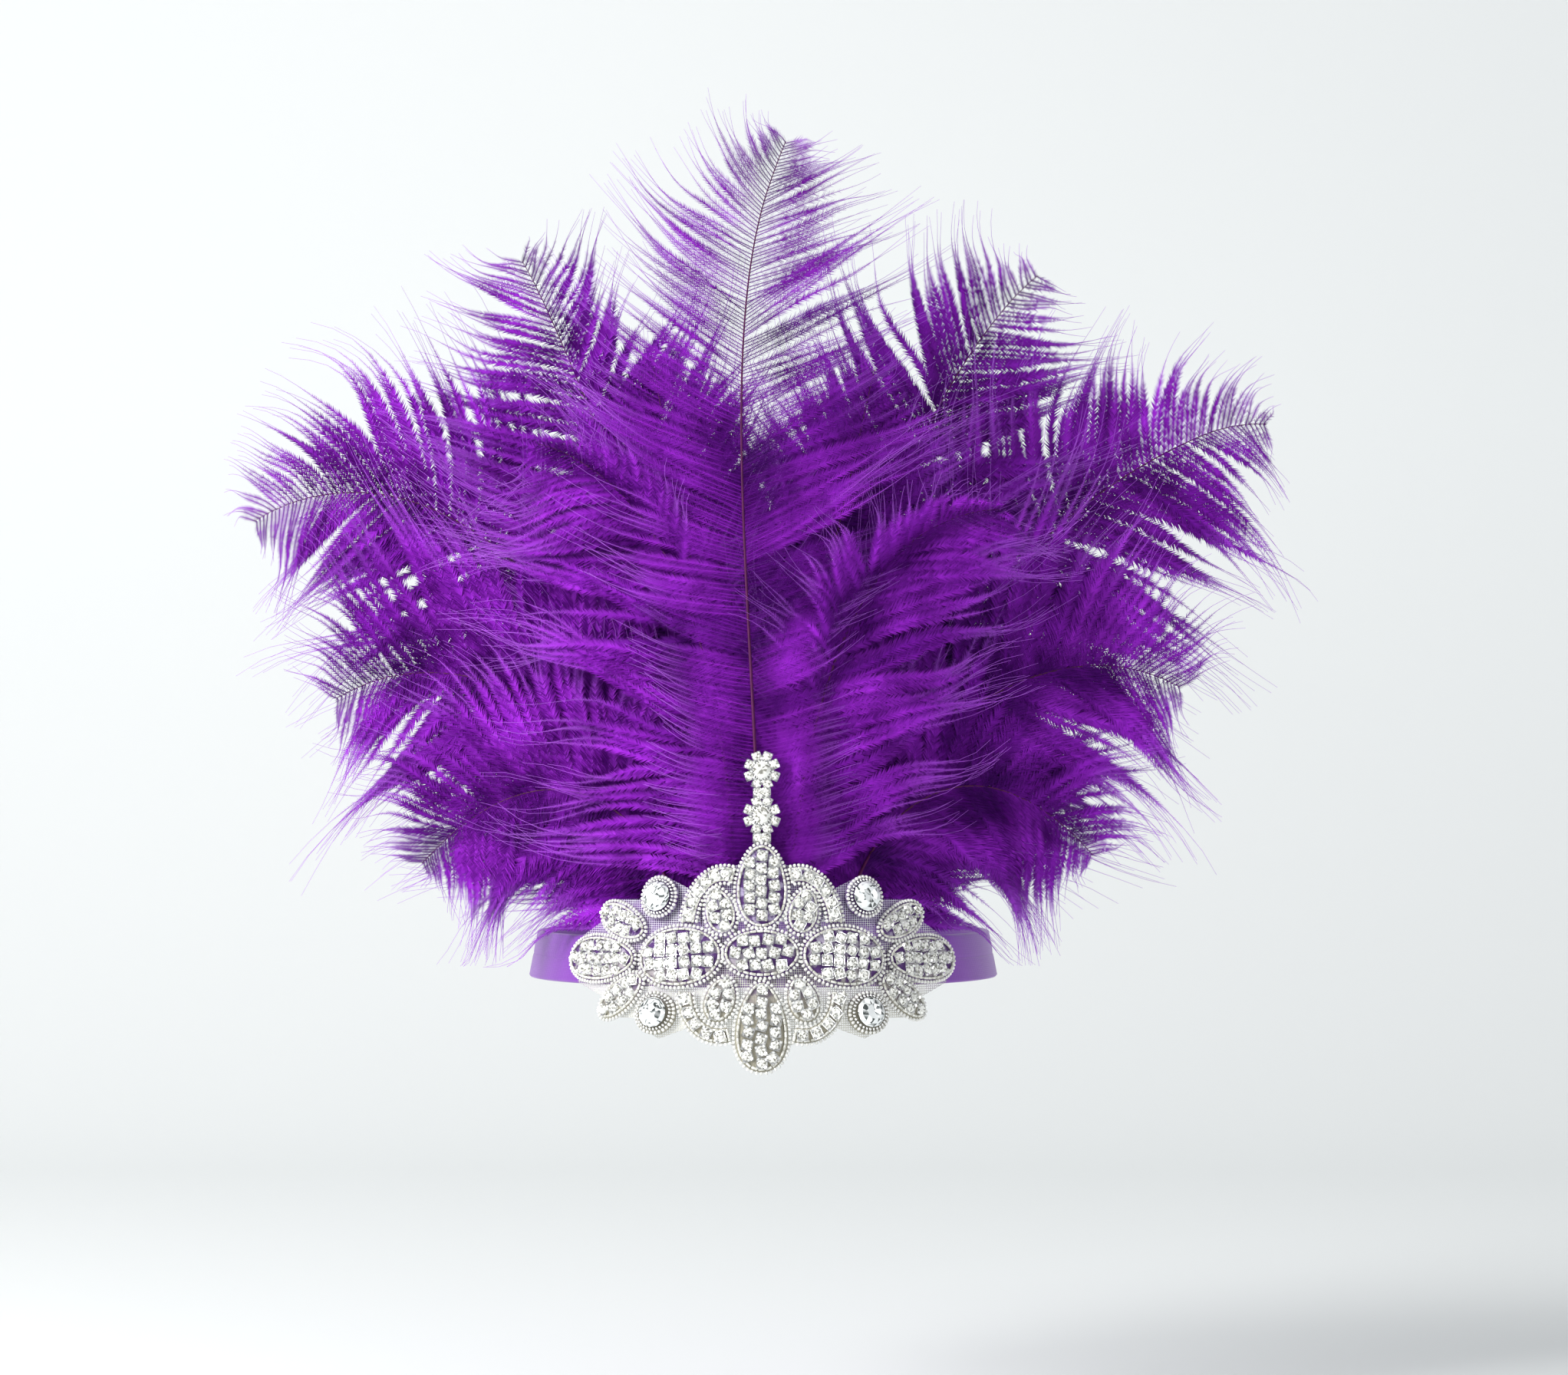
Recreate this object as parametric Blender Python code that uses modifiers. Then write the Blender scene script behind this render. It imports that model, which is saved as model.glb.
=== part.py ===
"""Showgirl feather headdress: thirteen ostrich plumes on an elastic headband, behind a
rhinestone applique with a two-flower stone trim up the foot of the centre plume.

Metres, +Z up, and the wearer looks along -Y. The origin is the middle of the band's loop.
The applique is laid out flat, in s (along the band from its middle front), h (up the band's
slope) and t (out from the band), and is then wrapped onto the band.
"""

import math
from collections import namedtuple

import bmesh
import bpy
import numpy as np
from mathutils import Matrix, Vector

# Headband: a loop of fold-over elastic, stretched round a head
BAND_HALF_WIDTH = 0.0805
BAND_HALF_DEPTH = 0.098
BAND_HEIGHT = 0.016
BAND_WALL = 0.0015
BAND_SLOPE = 0.19
BAND_SIDES = 52

# Clearance between pieces that touch on the real headdress
GAP = 0.0003

# Quills stand side by side on the front of the band, behind the applique
QUILL_WIDTH = 0.0022
QUILL_THICKNESS = 0.0012
QUILL_PITCH = 0.0042
QUILL_TUCK = 0.0015

# The fan of plumes
FAN_HEIGHT = 0.276
FAN_HALF_WIDTH = 0.176
FAN_CURL = 0.152
FAN_SWEEP = 0.176
CURL_START = 0.060
LEAF_SPACING = 0.0038
LEAF_RAMP_TOP = 0.045
VANE_CLEARANCE = 0.010
LOCK_FILL = 0.86
LOCK_POINT = 0.38
LOCK_RELIEF = 0.0009
LOCK_OPEN_LOW = math.radians(64)
LOCK_OPEN_HIGH = math.radians(34)
LOCK_SWING = math.radians(20)
INNER_REACH = 0.40

# The applique, whose layout below is in percent of its width
APPLIQUE_WIDTH = 0.150
PERCENT = APPLIQUE_WIDTH / 100
NET_THICKNESS = 0.0010
NET_INSET = 0.0010
NET_CORNERS = 56
PLATE_THICKNESS = 0.0009
BEAD_RIM = 0.0012
BEND_STEP = 0.009
SETTLE_START = 0.030
SETTLE_END = 0.058

# Stones
STONE_SIZE = 0.0031
STONE_PITCH = 0.0040
STONE_HEIGHT = 0.0019
STONE_SINK = 0.0003
TABLE_SHARE = 0.55
CRYSTAL_RADIUS = 0.0053
CRYSTAL_RING_RADIUS = 0.0071
CRYSTAL_HEIGHT = 0.0042

# Flower trim
FLOWER_RADIUS = 0.0062
FLOWER_STONES = 8
FLOWER_STONE_SIZE = 0.0026
FLOWER_HEART_RADIUS = 0.0030
FLOWER_SPACING = 0.0151
BAR_WIDTH = 0.0058
BAR_STONE_PITCH = 0.0029

SLOPE_ANGLE = math.atan(BAND_SLOPE)
QUILL_SEAT = GAP + QUILL_THICKNESS / 2
NET_SEAT = QUILL_SEAT + QUILL_THICKNESS / 2 + GAP
PLATE_SEAT = NET_SEAT + NET_THICKNESS + GAP
BAND_TOP = BAND_HEIGHT / 2

Plume = namedtuple("Plume", "name seat rise_x rise_z bend_x bend_z tip_x tip_z breadth locks leaf")
# seat counts quills from the middle one; x is a share of the fan's half width, z of its
# height, breadth (a lock's length) of its half width; leaf 0 is the front one
PLUMES = (
    Plume("plume_centre", 0, 0.000, 0.36, -0.100, 0.74, 0.017, 0.945, 0.28, 8, 0),
    Plume("plume_front_right", 2, 0.050, 0.25, 0.150, 0.47, 0.340, 0.530, 0.27, 6, 1),
    Plume("plume_front_left", -2, -0.045, 0.25, -0.110, 0.50, -0.330, 0.600, 0.27, 6, 2),
    Plume("plume_bottom_left", -6, -0.145, 0.14, -0.330, 0.27, -0.560, 0.170, 0.23, 5, 3),
    Plume("plume_bottom_right", 6, 0.145, 0.14, 0.330, 0.27, 0.540, 0.180, 0.23, 5, 3),
    Plume("plume_lower_left", -5, -0.125, 0.19, -0.420, 0.37, -0.700, 0.350, 0.28, 6, 4),
    Plume("plume_lower_right", 5, 0.125, 0.19, 0.420, 0.37, 0.680, 0.360, 0.28, 6, 4),
    Plume("plume_back_left", -1, -0.035, 0.28, -0.150, 0.50, -0.190, 0.650, 0.26, 6, 5),
    Plume("plume_back_right", 1, 0.035, 0.28, 0.140, 0.50, 0.190, 0.650, 0.26, 6, 6),
    Plume("plume_inner_left", -3, -0.080, 0.27, -0.280, 0.60, -0.420, 0.800, 0.29, 7, 7),
    Plume("plume_inner_right", 3, 0.070, 0.27, 0.240, 0.62, 0.460, 0.800, 0.29, 7, 8),
    Plume("plume_outer_left", -4, -0.125, 0.23, -0.480, 0.62, -0.880, 0.585, 0.30, 7, 9),
    Plume("plume_outer_right", 4, 0.115, 0.23, 0.480, 0.55, 0.880, 0.660, 0.30, 7, 9),
)

Petal = namedtuple("Petal", "name s h half_length half_width angle taper")
# Stone fields with a petal's or an oval's outline, in percent of the applique's width
MIDDLE_PETALS = (
    Petal("petal_top", 0, 16.4, 9.2, 5.6, 90, -0.12),
    Petal("oval_centre", 0, 1.7, 7.9, 5.3, 0, 0),
    Petal("petal_bottom", 0, -14.4, 9.8, 5.1, -90, 0.20),
)
SIDE_PETALS = (
    Petal("oval", 17.7, 0.8, 9.4, 6.6, -5, 0),
    Petal("wing_upper", 33.4, 8.5, 7.3, 3.5, 21, 0.05),
    Petal("wing_middle", 39.1, 0.1, 10.6, 5.0, 0, 0.12),
    Petal("wing_lower", 31.5, -8.0, 6.9, 3.5, -39, 0.05),
    Petal("drop_upper", 9.0, 10.9, 5.1, 3.3, 76, -0.15),
    Petal("drop_lower", 8.3, -8.5, 5.0, 3.2, -76, 0.10),
)

Scroll = namedtuple("Scroll", "name s h outer_s outer_h inner_s inner_h start stop")
# Curved stone bands round the drops, from one angle to another
SCROLLS = (
    Scroll("scroll_upper", 8.3, 8.0, 9.3, 12.7, 6.0, 9.3, 4, 104),
    Scroll("scroll_lower", 8.3, -6.7, 9.0, 11.3, 5.8, 8.1, -4, -104),
)

Crystal = namedtuple("Crystal", "name s h")
CRYSTALS = (
    Crystal("crystal_upper", 23.5, 13.9),
    Crystal("crystal_lower", 22.2, -11.6),
)

APPLIQUE_TOP = (MIDDLE_PETALS[0].h + MIDDLE_PETALS[0].half_length) * PERCENT
VANE_FOOT = (SCROLLS[0].h + SCROLLS[0].outer_h) * PERCENT + VANE_CLEARANCE

# Scene and materials


def clear_scene():
    for item in list(bpy.data.objects):
        bpy.data.objects.remove(item, do_unlink=True)


def new_collection(name):
    group = bpy.data.collections.new(name)
    bpy.context.scene.collection.children.link(group)
    return group


def material(name, color, roughness, metallic):
    finish = bpy.data.materials.new(name)
    finish.use_nodes = True
    shader = finish.node_tree.nodes["Principled BSDF"]
    shader.inputs["Base Color"].default_value = (*color, 1)
    shader.inputs["Roughness"].default_value = roughness
    shader.inputs["Metallic"].default_value = metallic
    return finish


clear_scene()
PARTS = new_collection("showgirl_feather_headdress")
CUTTERS = new_collection("joining_shapes")
PLUME_PURPLE = material("plume_purple", (0.23, 0.02, 0.52), 0.75, 0)
BAND_PURPLE = material("band_purple", (0.25, 0.07, 0.45), 0.4, 0)
NET_PALE = material("net_pale", (0.75, 0.72, 0.80), 0.8, 0)
STONE_SILVER = material("stone_silver", (0.88, 0.88, 0.86), 0.15, 0.9)
CRYSTAL_CLEAR = material("crystal_clear", (0.92, 0.94, 0.95), 0.08, 0.6)


def place(name, mesh, finish):
    """Puts a finished mesh in the parts' collection as one named object."""
    mesh.materials.clear()
    mesh.materials.append(finish)
    item = bpy.data.objects.new(name, mesh)
    PARTS.objects.link(item)
    return item


def evaluated_mesh(item):
    """The object's mesh with its modifiers applied; the object itself is removed."""
    bpy.context.view_layer.update()
    seen = item.evaluated_get(bpy.context.evaluated_depsgraph_get())
    mesh = bpy.data.meshes.new_from_object(seen)
    bpy.data.objects.remove(item, do_unlink=True)
    return mesh


# The band's surface


def arc_length_table():
    """Arc length along the band's outer edge at mid height, from the middle front."""
    angles = np.linspace(-math.pi, math.pi, 2881)
    speed = np.hypot(BAND_HALF_WIDTH * np.cos(angles), BAND_HALF_DEPTH * np.sin(angles))
    steps = (speed[1:] + speed[:-1]) / 2 * np.diff(angles)
    lengths = np.concatenate([[0], np.cumsum(steps)])
    return angles, lengths - lengths[-1] / 2


ANGLES, LENGTHS = arc_length_table()


def on_band(s, h, t):
    """The point s along the band, h up its slope and t out from its outer face."""
    angle = float(np.interp(s, LENGTHS, ANGLES))
    z = h * math.cos(SLOPE_ANGLE)
    x = (BAND_HALF_WIDTH - BAND_SLOPE * z) * math.sin(angle)
    y = -(BAND_HALF_DEPTH - BAND_SLOPE * z) * math.cos(angle)
    out = Vector((math.sin(angle) / BAND_HALF_WIDTH, -math.cos(angle) / BAND_HALF_DEPTH, 0))
    out.normalize()
    out.z = BAND_SLOPE
    out.normalize()
    return Vector((x, y, z)) + out * t


def smooth_step(value, low, high):
    share = min(max((value - low) / (high - low), 0), 1)
    return share * share * (3 - 2 * share)


def settled(s, t):
    """Past the quills the applique comes down onto the band."""
    drop = NET_SEAT - GAP
    return t - drop * smooth_step(abs(s), SETTLE_START, SETTLE_END)


def make_headband():
    mesh = bpy.data.meshes.new("headband")
    cage = bmesh.new()
    rings = []
    for z in (-BAND_TOP, BAND_TOP):
        ring = bmesh.ops.create_circle(cage, segments=BAND_SIDES, radius=1)["verts"]
        width = BAND_HALF_WIDTH - BAND_SLOPE * z
        depth = BAND_HALF_DEPTH - BAND_SLOPE * z
        bmesh.ops.transform(cage, matrix=Matrix.Diagonal((width, depth, 1, 1)), verts=ring)
        bmesh.ops.translate(cage, vec=(0, 0, z), verts=ring)
        rings.append(ring)
    bmesh.ops.bridge_loops(cage, edges=cage.edges)
    bmesh.ops.recalc_face_normals(cage, faces=cage.faces)
    middle = cage.faces[:][0]
    if middle.normal.dot(middle.calc_center_median()) < 0:
        bmesh.ops.reverse_faces(cage, faces=cage.faces)
    cage.to_mesh(mesh)
    cage.free()
    band = place("headband", mesh, BAND_PURPLE)
    wall = band.modifiers.new("wall", "SOLIDIFY")
    wall.thickness = BAND_WALL
    wall.offset = -1


# Plumes


def side_fall(x):
    """How far the fan lies back at x: on the band near the middle, then in a flat wing."""
    reach = QUILL_PITCH * 6 + QUILL_WIDTH
    near = min(abs(x), reach)
    root = math.sqrt(1 - (near / BAND_HALF_WIDTH) ** 2)
    fall = BAND_HALF_DEPTH * (1 - root)
    slope = BAND_HALF_DEPTH / BAND_HALF_WIDTH * (near / BAND_HALF_WIDTH) / root
    past = abs(x) - near
    return fall + slope * past - FAN_SWEEP * past * past / FAN_HALF_WIDTH


def leaf_point(x, z, leaf, relief=0):
    """A point of one leaf of the fan, which leans back, then curls forward at the top."""
    curl = FAN_CURL * max(0, z - CURL_START) ** 2 / FAN_HEIGHT
    front = BAND_HALF_DEPTH + QUILL_SEAT / math.cos(SLOPE_ANGLE)
    back = leaf * LEAF_SPACING * smooth_step(z, BAND_TOP, LEAF_RAMP_TOP)
    return Vector((x, -front + BAND_SLOPE * z - curl + side_fall(x) + back + relief, z))


def quill_line(plume, count=160):
    """The plume's quill seen from the front, as a cubic curve through its table row."""
    seat_x = on_band(plume.seat * QUILL_PITCH, 0, 0).x
    points = np.array((
        (seat_x, -BAND_TOP + QUILL_TUCK),
        (plume.rise_x * FAN_HALF_WIDTH, plume.rise_z * FAN_HEIGHT),
        (plume.bend_x * FAN_HALF_WIDTH, plume.bend_z * FAN_HEIGHT),
        (plume.tip_x * FAN_HALF_WIDTH, plume.tip_z * FAN_HEIGHT),
    ))
    u = np.linspace(0, 1, count)[:, None]
    weights = ((1 - u) ** 3, 3 * u * (1 - u) ** 2, 3 * u * u * (1 - u), u ** 3)
    return sum(weight * point for weight, point in zip(weights, points))


def stations(line, start, stop, count):
    """Evenly spaced points of a line between two of its lengths, with their directions."""
    steps = np.hypot(*np.diff(line, axis=0).T)
    lengths = np.concatenate([[0], np.cumsum(steps)])
    wanted = np.linspace(start, stop, count)
    points = np.array([np.interp(wanted, lengths, line[:, axis]) for axis in (0, 1)]).T
    ahead = np.array([np.interp(wanted + 1e-4, lengths, line[:, axis]) for axis in (0, 1)]).T
    behind = np.array([np.interp(wanted - 1e-4, lengths, line[:, axis]) for axis in (0, 1)]).T
    along = ahead - behind
    return points, along / np.hypot(*along.T)[:, None]


def lock_length(share):
    """A lock's length along the vane, as a share of the plume's breadth."""
    return 0.45 + 0.55 * math.sin(0.9 * math.pi * share ** 0.8)


def lock_reach(length, side, opening, chord, before, after):
    """A lock's length, which is less inside a bend of the quill, where locks would cross."""
    turn = math.atan2(before[0] * after[1] - before[1] * after[0], float(before @ after))
    if side * turn >= 0:
        return length
    bend_radius = math.hypot(*chord) / -(side * turn)
    return min(length, INNER_REACH * bend_radius * math.sin(opening + LOCK_SWING))


def make_plume(plume):
    line = quill_line(plume)
    steps = np.hypot(*np.diff(line, axis=0).T)
    lengths = np.concatenate([[0], np.cumsum(steps)])
    foot = lengths[np.argmax(line[:, 1] >= VANE_FOOT)]
    bare, bare_along = stations(line, 0, foot, 4)
    vane, vane_along = stations(line, foot, lengths[-1], plume.locks + 1)
    points = np.concatenate([bare[:-1], vane])
    along = np.concatenate([bare_along[:-1], vane_along])
    across = np.column_stack([along[:, 1], -along[:, 0]])

    sheet = bmesh.new()

    def corner(point, relief=0):
        return sheet.verts.new(leaf_point(point[0], point[1], plume.leaf, relief))

    edges = {side: [corner(p + side * QUILL_WIDTH / 2 * c) for p, c in zip(points, across)]
             for side in (-1, 1)}
    for i in range(len(points) - 1):
        sheet.faces.new((edges[-1][i], edges[1][i], edges[1][i + 1], edges[-1][i + 1]))

    def add_lock(root_a, root_b, middle, heading, swing, spread, length, relief):
        """A tapering strip of two faces from one edge of the quill."""
        low, high = root_a, root_b
        for reach, turn, width in ((0.52, swing * 0.4, LOCK_FILL), (1, swing, LOCK_POINT)):
            way = heading + turn
            ahead = np.array((math.cos(way), math.sin(way)))
            centre = middle + ahead * length * reach
            half = np.array((-ahead[1], ahead[0])) * spread * width / 2
            next_low = corner(centre - half, relief * reach)
            next_high = corner(centre + half, relief * reach)
            sheet.faces.new((low, next_low, next_high, high))
            low, high = next_low, next_high

    breadth = plume.breadth * FAN_HALF_WIDTH
    first = len(bare) - 1
    for i in range(first, len(points) - 1):
        share = (i - first + 0.5) / plume.locks
        root = (points[i] + points[i + 1]) / 2
        chord = points[i + 1] - points[i]
        heading = math.atan2(chord[1], chord[0])
        opening = LOCK_OPEN_LOW + (LOCK_OPEN_HIGH - LOCK_OPEN_LOW) * share
        spread = math.hypot(*chord) * math.sin(opening)
        relief = LOCK_RELIEF * (i % 2)
        for side in (-1, 1):
            start, stop = (i, i + 1) if side > 0 else (i + 1, i)
            length = lock_reach(breadth * lock_length(share), side, opening, chord,
                                along[i], along[i + 1])
            add_lock(edges[side][start], edges[side][stop], root, heading - side * opening,
                     -side * LOCK_SWING, spread, length, relief)
    end = points[-1]
    heading = math.atan2(along[-1][1], along[-1][0])
    add_lock(edges[1][-1], edges[-1][-1], end, heading, 0, QUILL_WIDTH * 3,
             breadth * lock_length(1), 0)

    bmesh.ops.recalc_face_normals(sheet, faces=sheet.faces)
    mesh = bpy.data.meshes.new(plume.name)
    sheet.to_mesh(mesh)
    sheet.free()
    item = place(plume.name, mesh, PLUME_PURPLE)
    wall = item.modifiers.new("thickness", "SOLIDIFY")
    wall.thickness = QUILL_THICKNESS
    wall.offset = 0


# Stones and the plates that hold them


def stone_mesh(places, radius, height, sides):
    """One mesh of equal stones, at (s, h, turn) with their feet at t = 0."""
    mesh = bpy.data.meshes.new("stones")
    shapes = bmesh.new()
    for s, h, turn in places:
        foot = [(radius * math.cos(a), radius * math.sin(a), 0) for a in ring_angles(sides, 0)]
        table = [(radius * TABLE_SHARE * math.cos(a), radius * TABLE_SHARE * math.sin(a), height)
                 for a in ring_angles(sides, 0.5)]
        where = Matrix.Translation((s, h, 0)) @ Matrix.Rotation(turn, 4, "Z")
        verts = [shapes.verts.new(where @ Vector(point)) for point in foot + table]
        bmesh.ops.convex_hull(shapes, input=verts)
    shapes.to_mesh(mesh)
    shapes.free()
    return mesh


def ring_angles(sides, shift):
    return [2 * math.pi * (i + shift) / sides for i in range(sides)]


def flat_plate(outline, t, thickness):
    """An extruded outline in the flat layout, as a cutter object."""
    flat = bpy.data.curves.new("outline", "CURVE")
    flat.dimensions = "2D"
    flat.fill_mode = "BOTH"
    flat.extrude = thickness / 2
    spline = flat.splines.new("POLY")
    spline.points.add(len(outline) - 1)
    for point, (s, h) in zip(spline.points, outline):
        point.co = (s, h, 0, 1)
    spline.use_cyclic_u = True
    item = bpy.data.objects.new("outline", flat)
    CUTTERS.objects.link(item)
    mesh = evaluated_mesh(item)
    solid = bmesh.new()
    solid.from_mesh(mesh)
    bmesh.ops.remove_doubles(solid, verts=solid.verts, dist=1e-6)
    bmesh.ops.dissolve_limit(solid, angle_limit=0.01, verts=solid.verts, edges=solid.edges)
    bmesh.ops.translate(solid, vec=(0, 0, t + thickness / 2), verts=solid.verts)
    low = min(vert.co.x for vert in solid.verts)
    high = max(vert.co.x for vert in solid.verts)
    for step in range(math.ceil(low / BEND_STEP), math.floor(high / BEND_STEP) + 1):
        geometry = solid.verts[:] + solid.edges[:] + solid.faces[:]
        bmesh.ops.bisect_plane(solid, geom=geometry, dist=1e-6, plane_co=(step * BEND_STEP, 0, 0),
                               plane_no=(1, 0, 0))
    bmesh.ops.recalc_face_normals(solid, faces=solid.faces)
    solid.to_mesh(mesh)
    solid.free()
    return joining_object("plate", mesh)


def joining_object(name, mesh):
    item = bpy.data.objects.new(name, mesh)
    item.hide_render = True
    item.display_type = "WIRE"
    CUTTERS.objects.link(item)
    return item


def join(base, shapes):
    """The base with every shape united to it, as a mesh; all of them are removed."""
    for shape in shapes:
        union = base.modifiers.new("join", "BOOLEAN")
        union.operation = "UNION"
        union.solver = "EXACT"
        union.object = shape
    mesh = evaluated_mesh(base)
    for shape in shapes:
        bpy.data.objects.remove(shape, do_unlink=True)
    return mesh


def wrapped(mesh):
    """Bends a mesh of the flat layout onto the band."""
    solid = bmesh.new()
    solid.from_mesh(mesh)
    bmesh.ops.triangulate(solid, faces=solid.faces)
    for vert in solid.verts:
        s, h, t = vert.co
        vert.co = on_band(s, h, settled(s, t))
    solid.to_mesh(mesh)
    solid.free()
    return mesh


def stone_field(name, outline, places, finish=None):
    """A plate with small stones fused to it."""
    plate = flat_plate(outline, PLATE_SEAT, PLATE_THICKNESS)
    stones = stone_mesh(places, STONE_SIZE / math.sqrt(2), STONE_HEIGHT + STONE_SINK, 4)
    stones.transform(Matrix.Translation((0, 0, PLATE_SEAT + PLATE_THICKNESS - STONE_SINK)))
    mesh = join(plate, [joining_object("stones", stones)])
    place(name, wrapped(mesh), finish or STONE_SILVER)


def petal_points(petal, side, inset=0, count=14):
    """A petal's outline in the flat layout, drawn in by inset."""
    points = []
    turn = math.radians(petal.angle)
    for angle in ring_angles(count, 0):
        u = (petal.half_length * PERCENT - inset) * math.cos(angle)
        v = (petal.half_width * PERCENT - inset) * math.sin(angle)
        v *= 1 + petal.taper * math.cos(angle)
        s = petal.s * PERCENT + u * math.cos(turn) - v * math.sin(turn)
        h = petal.h * PERCENT + u * math.sin(turn) + v * math.cos(turn)
        points.append((side * s, h))
    return points if side > 0 else points[::-1]


def petal_stones(petal, side):
    """Rows of stones along the petal, wherever one fits inside the bead rim."""
    margin = BEAD_RIM + STONE_SIZE * 0.4
    length = petal.half_length * PERCENT - margin
    width = petal.half_width * PERCENT - margin
    rows = int(2 * width / STONE_PITCH) + 1
    turn = math.radians(petal.angle)
    places = []
    for row in range(rows):
        v = (row - (rows - 1) / 2) * STONE_PITCH
        reach = length * math.sqrt(max(0, 1 - (v / max(width, abs(v))) ** 2))
        count = int(2 * reach / STONE_PITCH) + 1
        for i in range(count):
            u = (i - (count - 1) / 2) * STONE_PITCH
            s = petal.s * PERCENT + u * math.cos(turn) - v * math.sin(turn)
            h = petal.h * PERCENT + u * math.sin(turn) + v * math.cos(turn)
            places.append((side * s, h, side * turn + math.pi / 4))
    return places


def scroll_arc(scroll, side, share, count):
    """Points of a scroll's band: share 0 is its inner edge and 1 its outer edge."""
    reach_s = (scroll.inner_s + (scroll.outer_s - scroll.inner_s) * share) * PERCENT
    reach_h = (scroll.inner_h + (scroll.outer_h - scroll.inner_h) * share) * PERCENT
    angles = [math.radians(scroll.start + (scroll.stop - scroll.start) * i / (count - 1))
              for i in range(count)]
    return [(side * (scroll.s * PERCENT + reach_s * math.cos(a)),
             scroll.h * PERCENT + reach_h * math.sin(a)) for a in angles]


def scroll_points(scroll, side):
    return scroll_arc(scroll, side, 1, 11) + scroll_arc(scroll, side, 0, 9)[::-1]


def scroll_stones(scroll, side):
    """One row of stones along the middle of the band."""
    line = np.array(scroll_arc(scroll, side, 0.5, 60))
    steps = np.hypot(*np.diff(line, axis=0).T)
    total = steps.sum()
    count = int((total - STONE_PITCH) / STONE_PITCH) + 1
    margin = (total - (count - 1) * STONE_PITCH) / 2
    spots, along = stations(line, margin, total - margin, count)
    return [(s, h, math.atan2(dh, ds) + math.pi / 4) for (s, h), (ds, dh) in zip(spots, along)]


def make_crystal(crystal, side, label):
    """A large round stone in its ring."""
    s, h = side * crystal.s * PERCENT, crystal.h * PERCENT
    ring = [(s + CRYSTAL_RING_RADIUS * math.cos(a), h + CRYSTAL_RING_RADIUS * math.sin(a))
            for a in ring_angles(12, 0)]
    plate = flat_plate(ring, PLATE_SEAT, PLATE_THICKNESS)
    stone = stone_mesh([(s, h, 0)], CRYSTAL_RADIUS, CRYSTAL_HEIGHT, 10)
    stone.transform(Matrix.Translation((0, 0, PLATE_SEAT + PLATE_THICKNESS - STONE_SINK)))
    place(f"{crystal.name}_{label}", wrapped(join(plate, [joining_object("stone", stone)])),
          CRYSTAL_CLEAR)


def radial_outline(shapes, count, inset):
    """The outermost reach of a set of outlines, direction by direction."""
    reach = np.zeros(count)
    for shape in shapes:
        corners = np.array(shape + shape[:1])
        for start, stop in zip(corners[:-1], corners[1:]):
            for share in np.linspace(0, 1, 6):
                s, h = start + (stop - start) * share
                slot = int(round(math.atan2(h, s) / (2 * math.pi) * count)) % count
                reach[slot] = max(reach[slot], math.hypot(s, h) - inset)
    return [(r * math.cos(a), r * math.sin(a)) for r, a in zip(reach, ring_angles(count, 0))]


def make_applique():
    outlines = []
    for petal in MIDDLE_PETALS:
        outline = petal_points(petal, 1)
        outlines.append(outline)
        stone_field(petal.name, outline, petal_stones(petal, 1))
    for side, label in ((-1, "left"), (1, "right")):
        for petal in SIDE_PETALS:
            outline = petal_points(petal, side)
            outlines.append(outline)
            stone_field(f"{petal.name}_{label}", outline, petal_stones(petal, side))
        for scroll in SCROLLS:
            outline = scroll_points(scroll, side)
            outlines.append(outline)
            stone_field(f"{scroll.name}_{label}", outline, scroll_stones(scroll, side))
        for crystal in CRYSTALS:
            make_crystal(crystal, side, label)
            s, h = side * crystal.s * PERCENT, crystal.h * PERCENT
            outlines.append([(s + CRYSTAL_RING_RADIUS * math.cos(a),
                              h + CRYSTAL_RING_RADIUS * math.sin(a)) for a in ring_angles(24, 0)])
    net = flat_plate(radial_outline(outlines, NET_CORNERS, NET_INSET), NET_SEAT, NET_THICKNESS)
    place("applique_net", wrapped(evaluated_mesh(net)), NET_PALE)


# Flower trim


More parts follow.
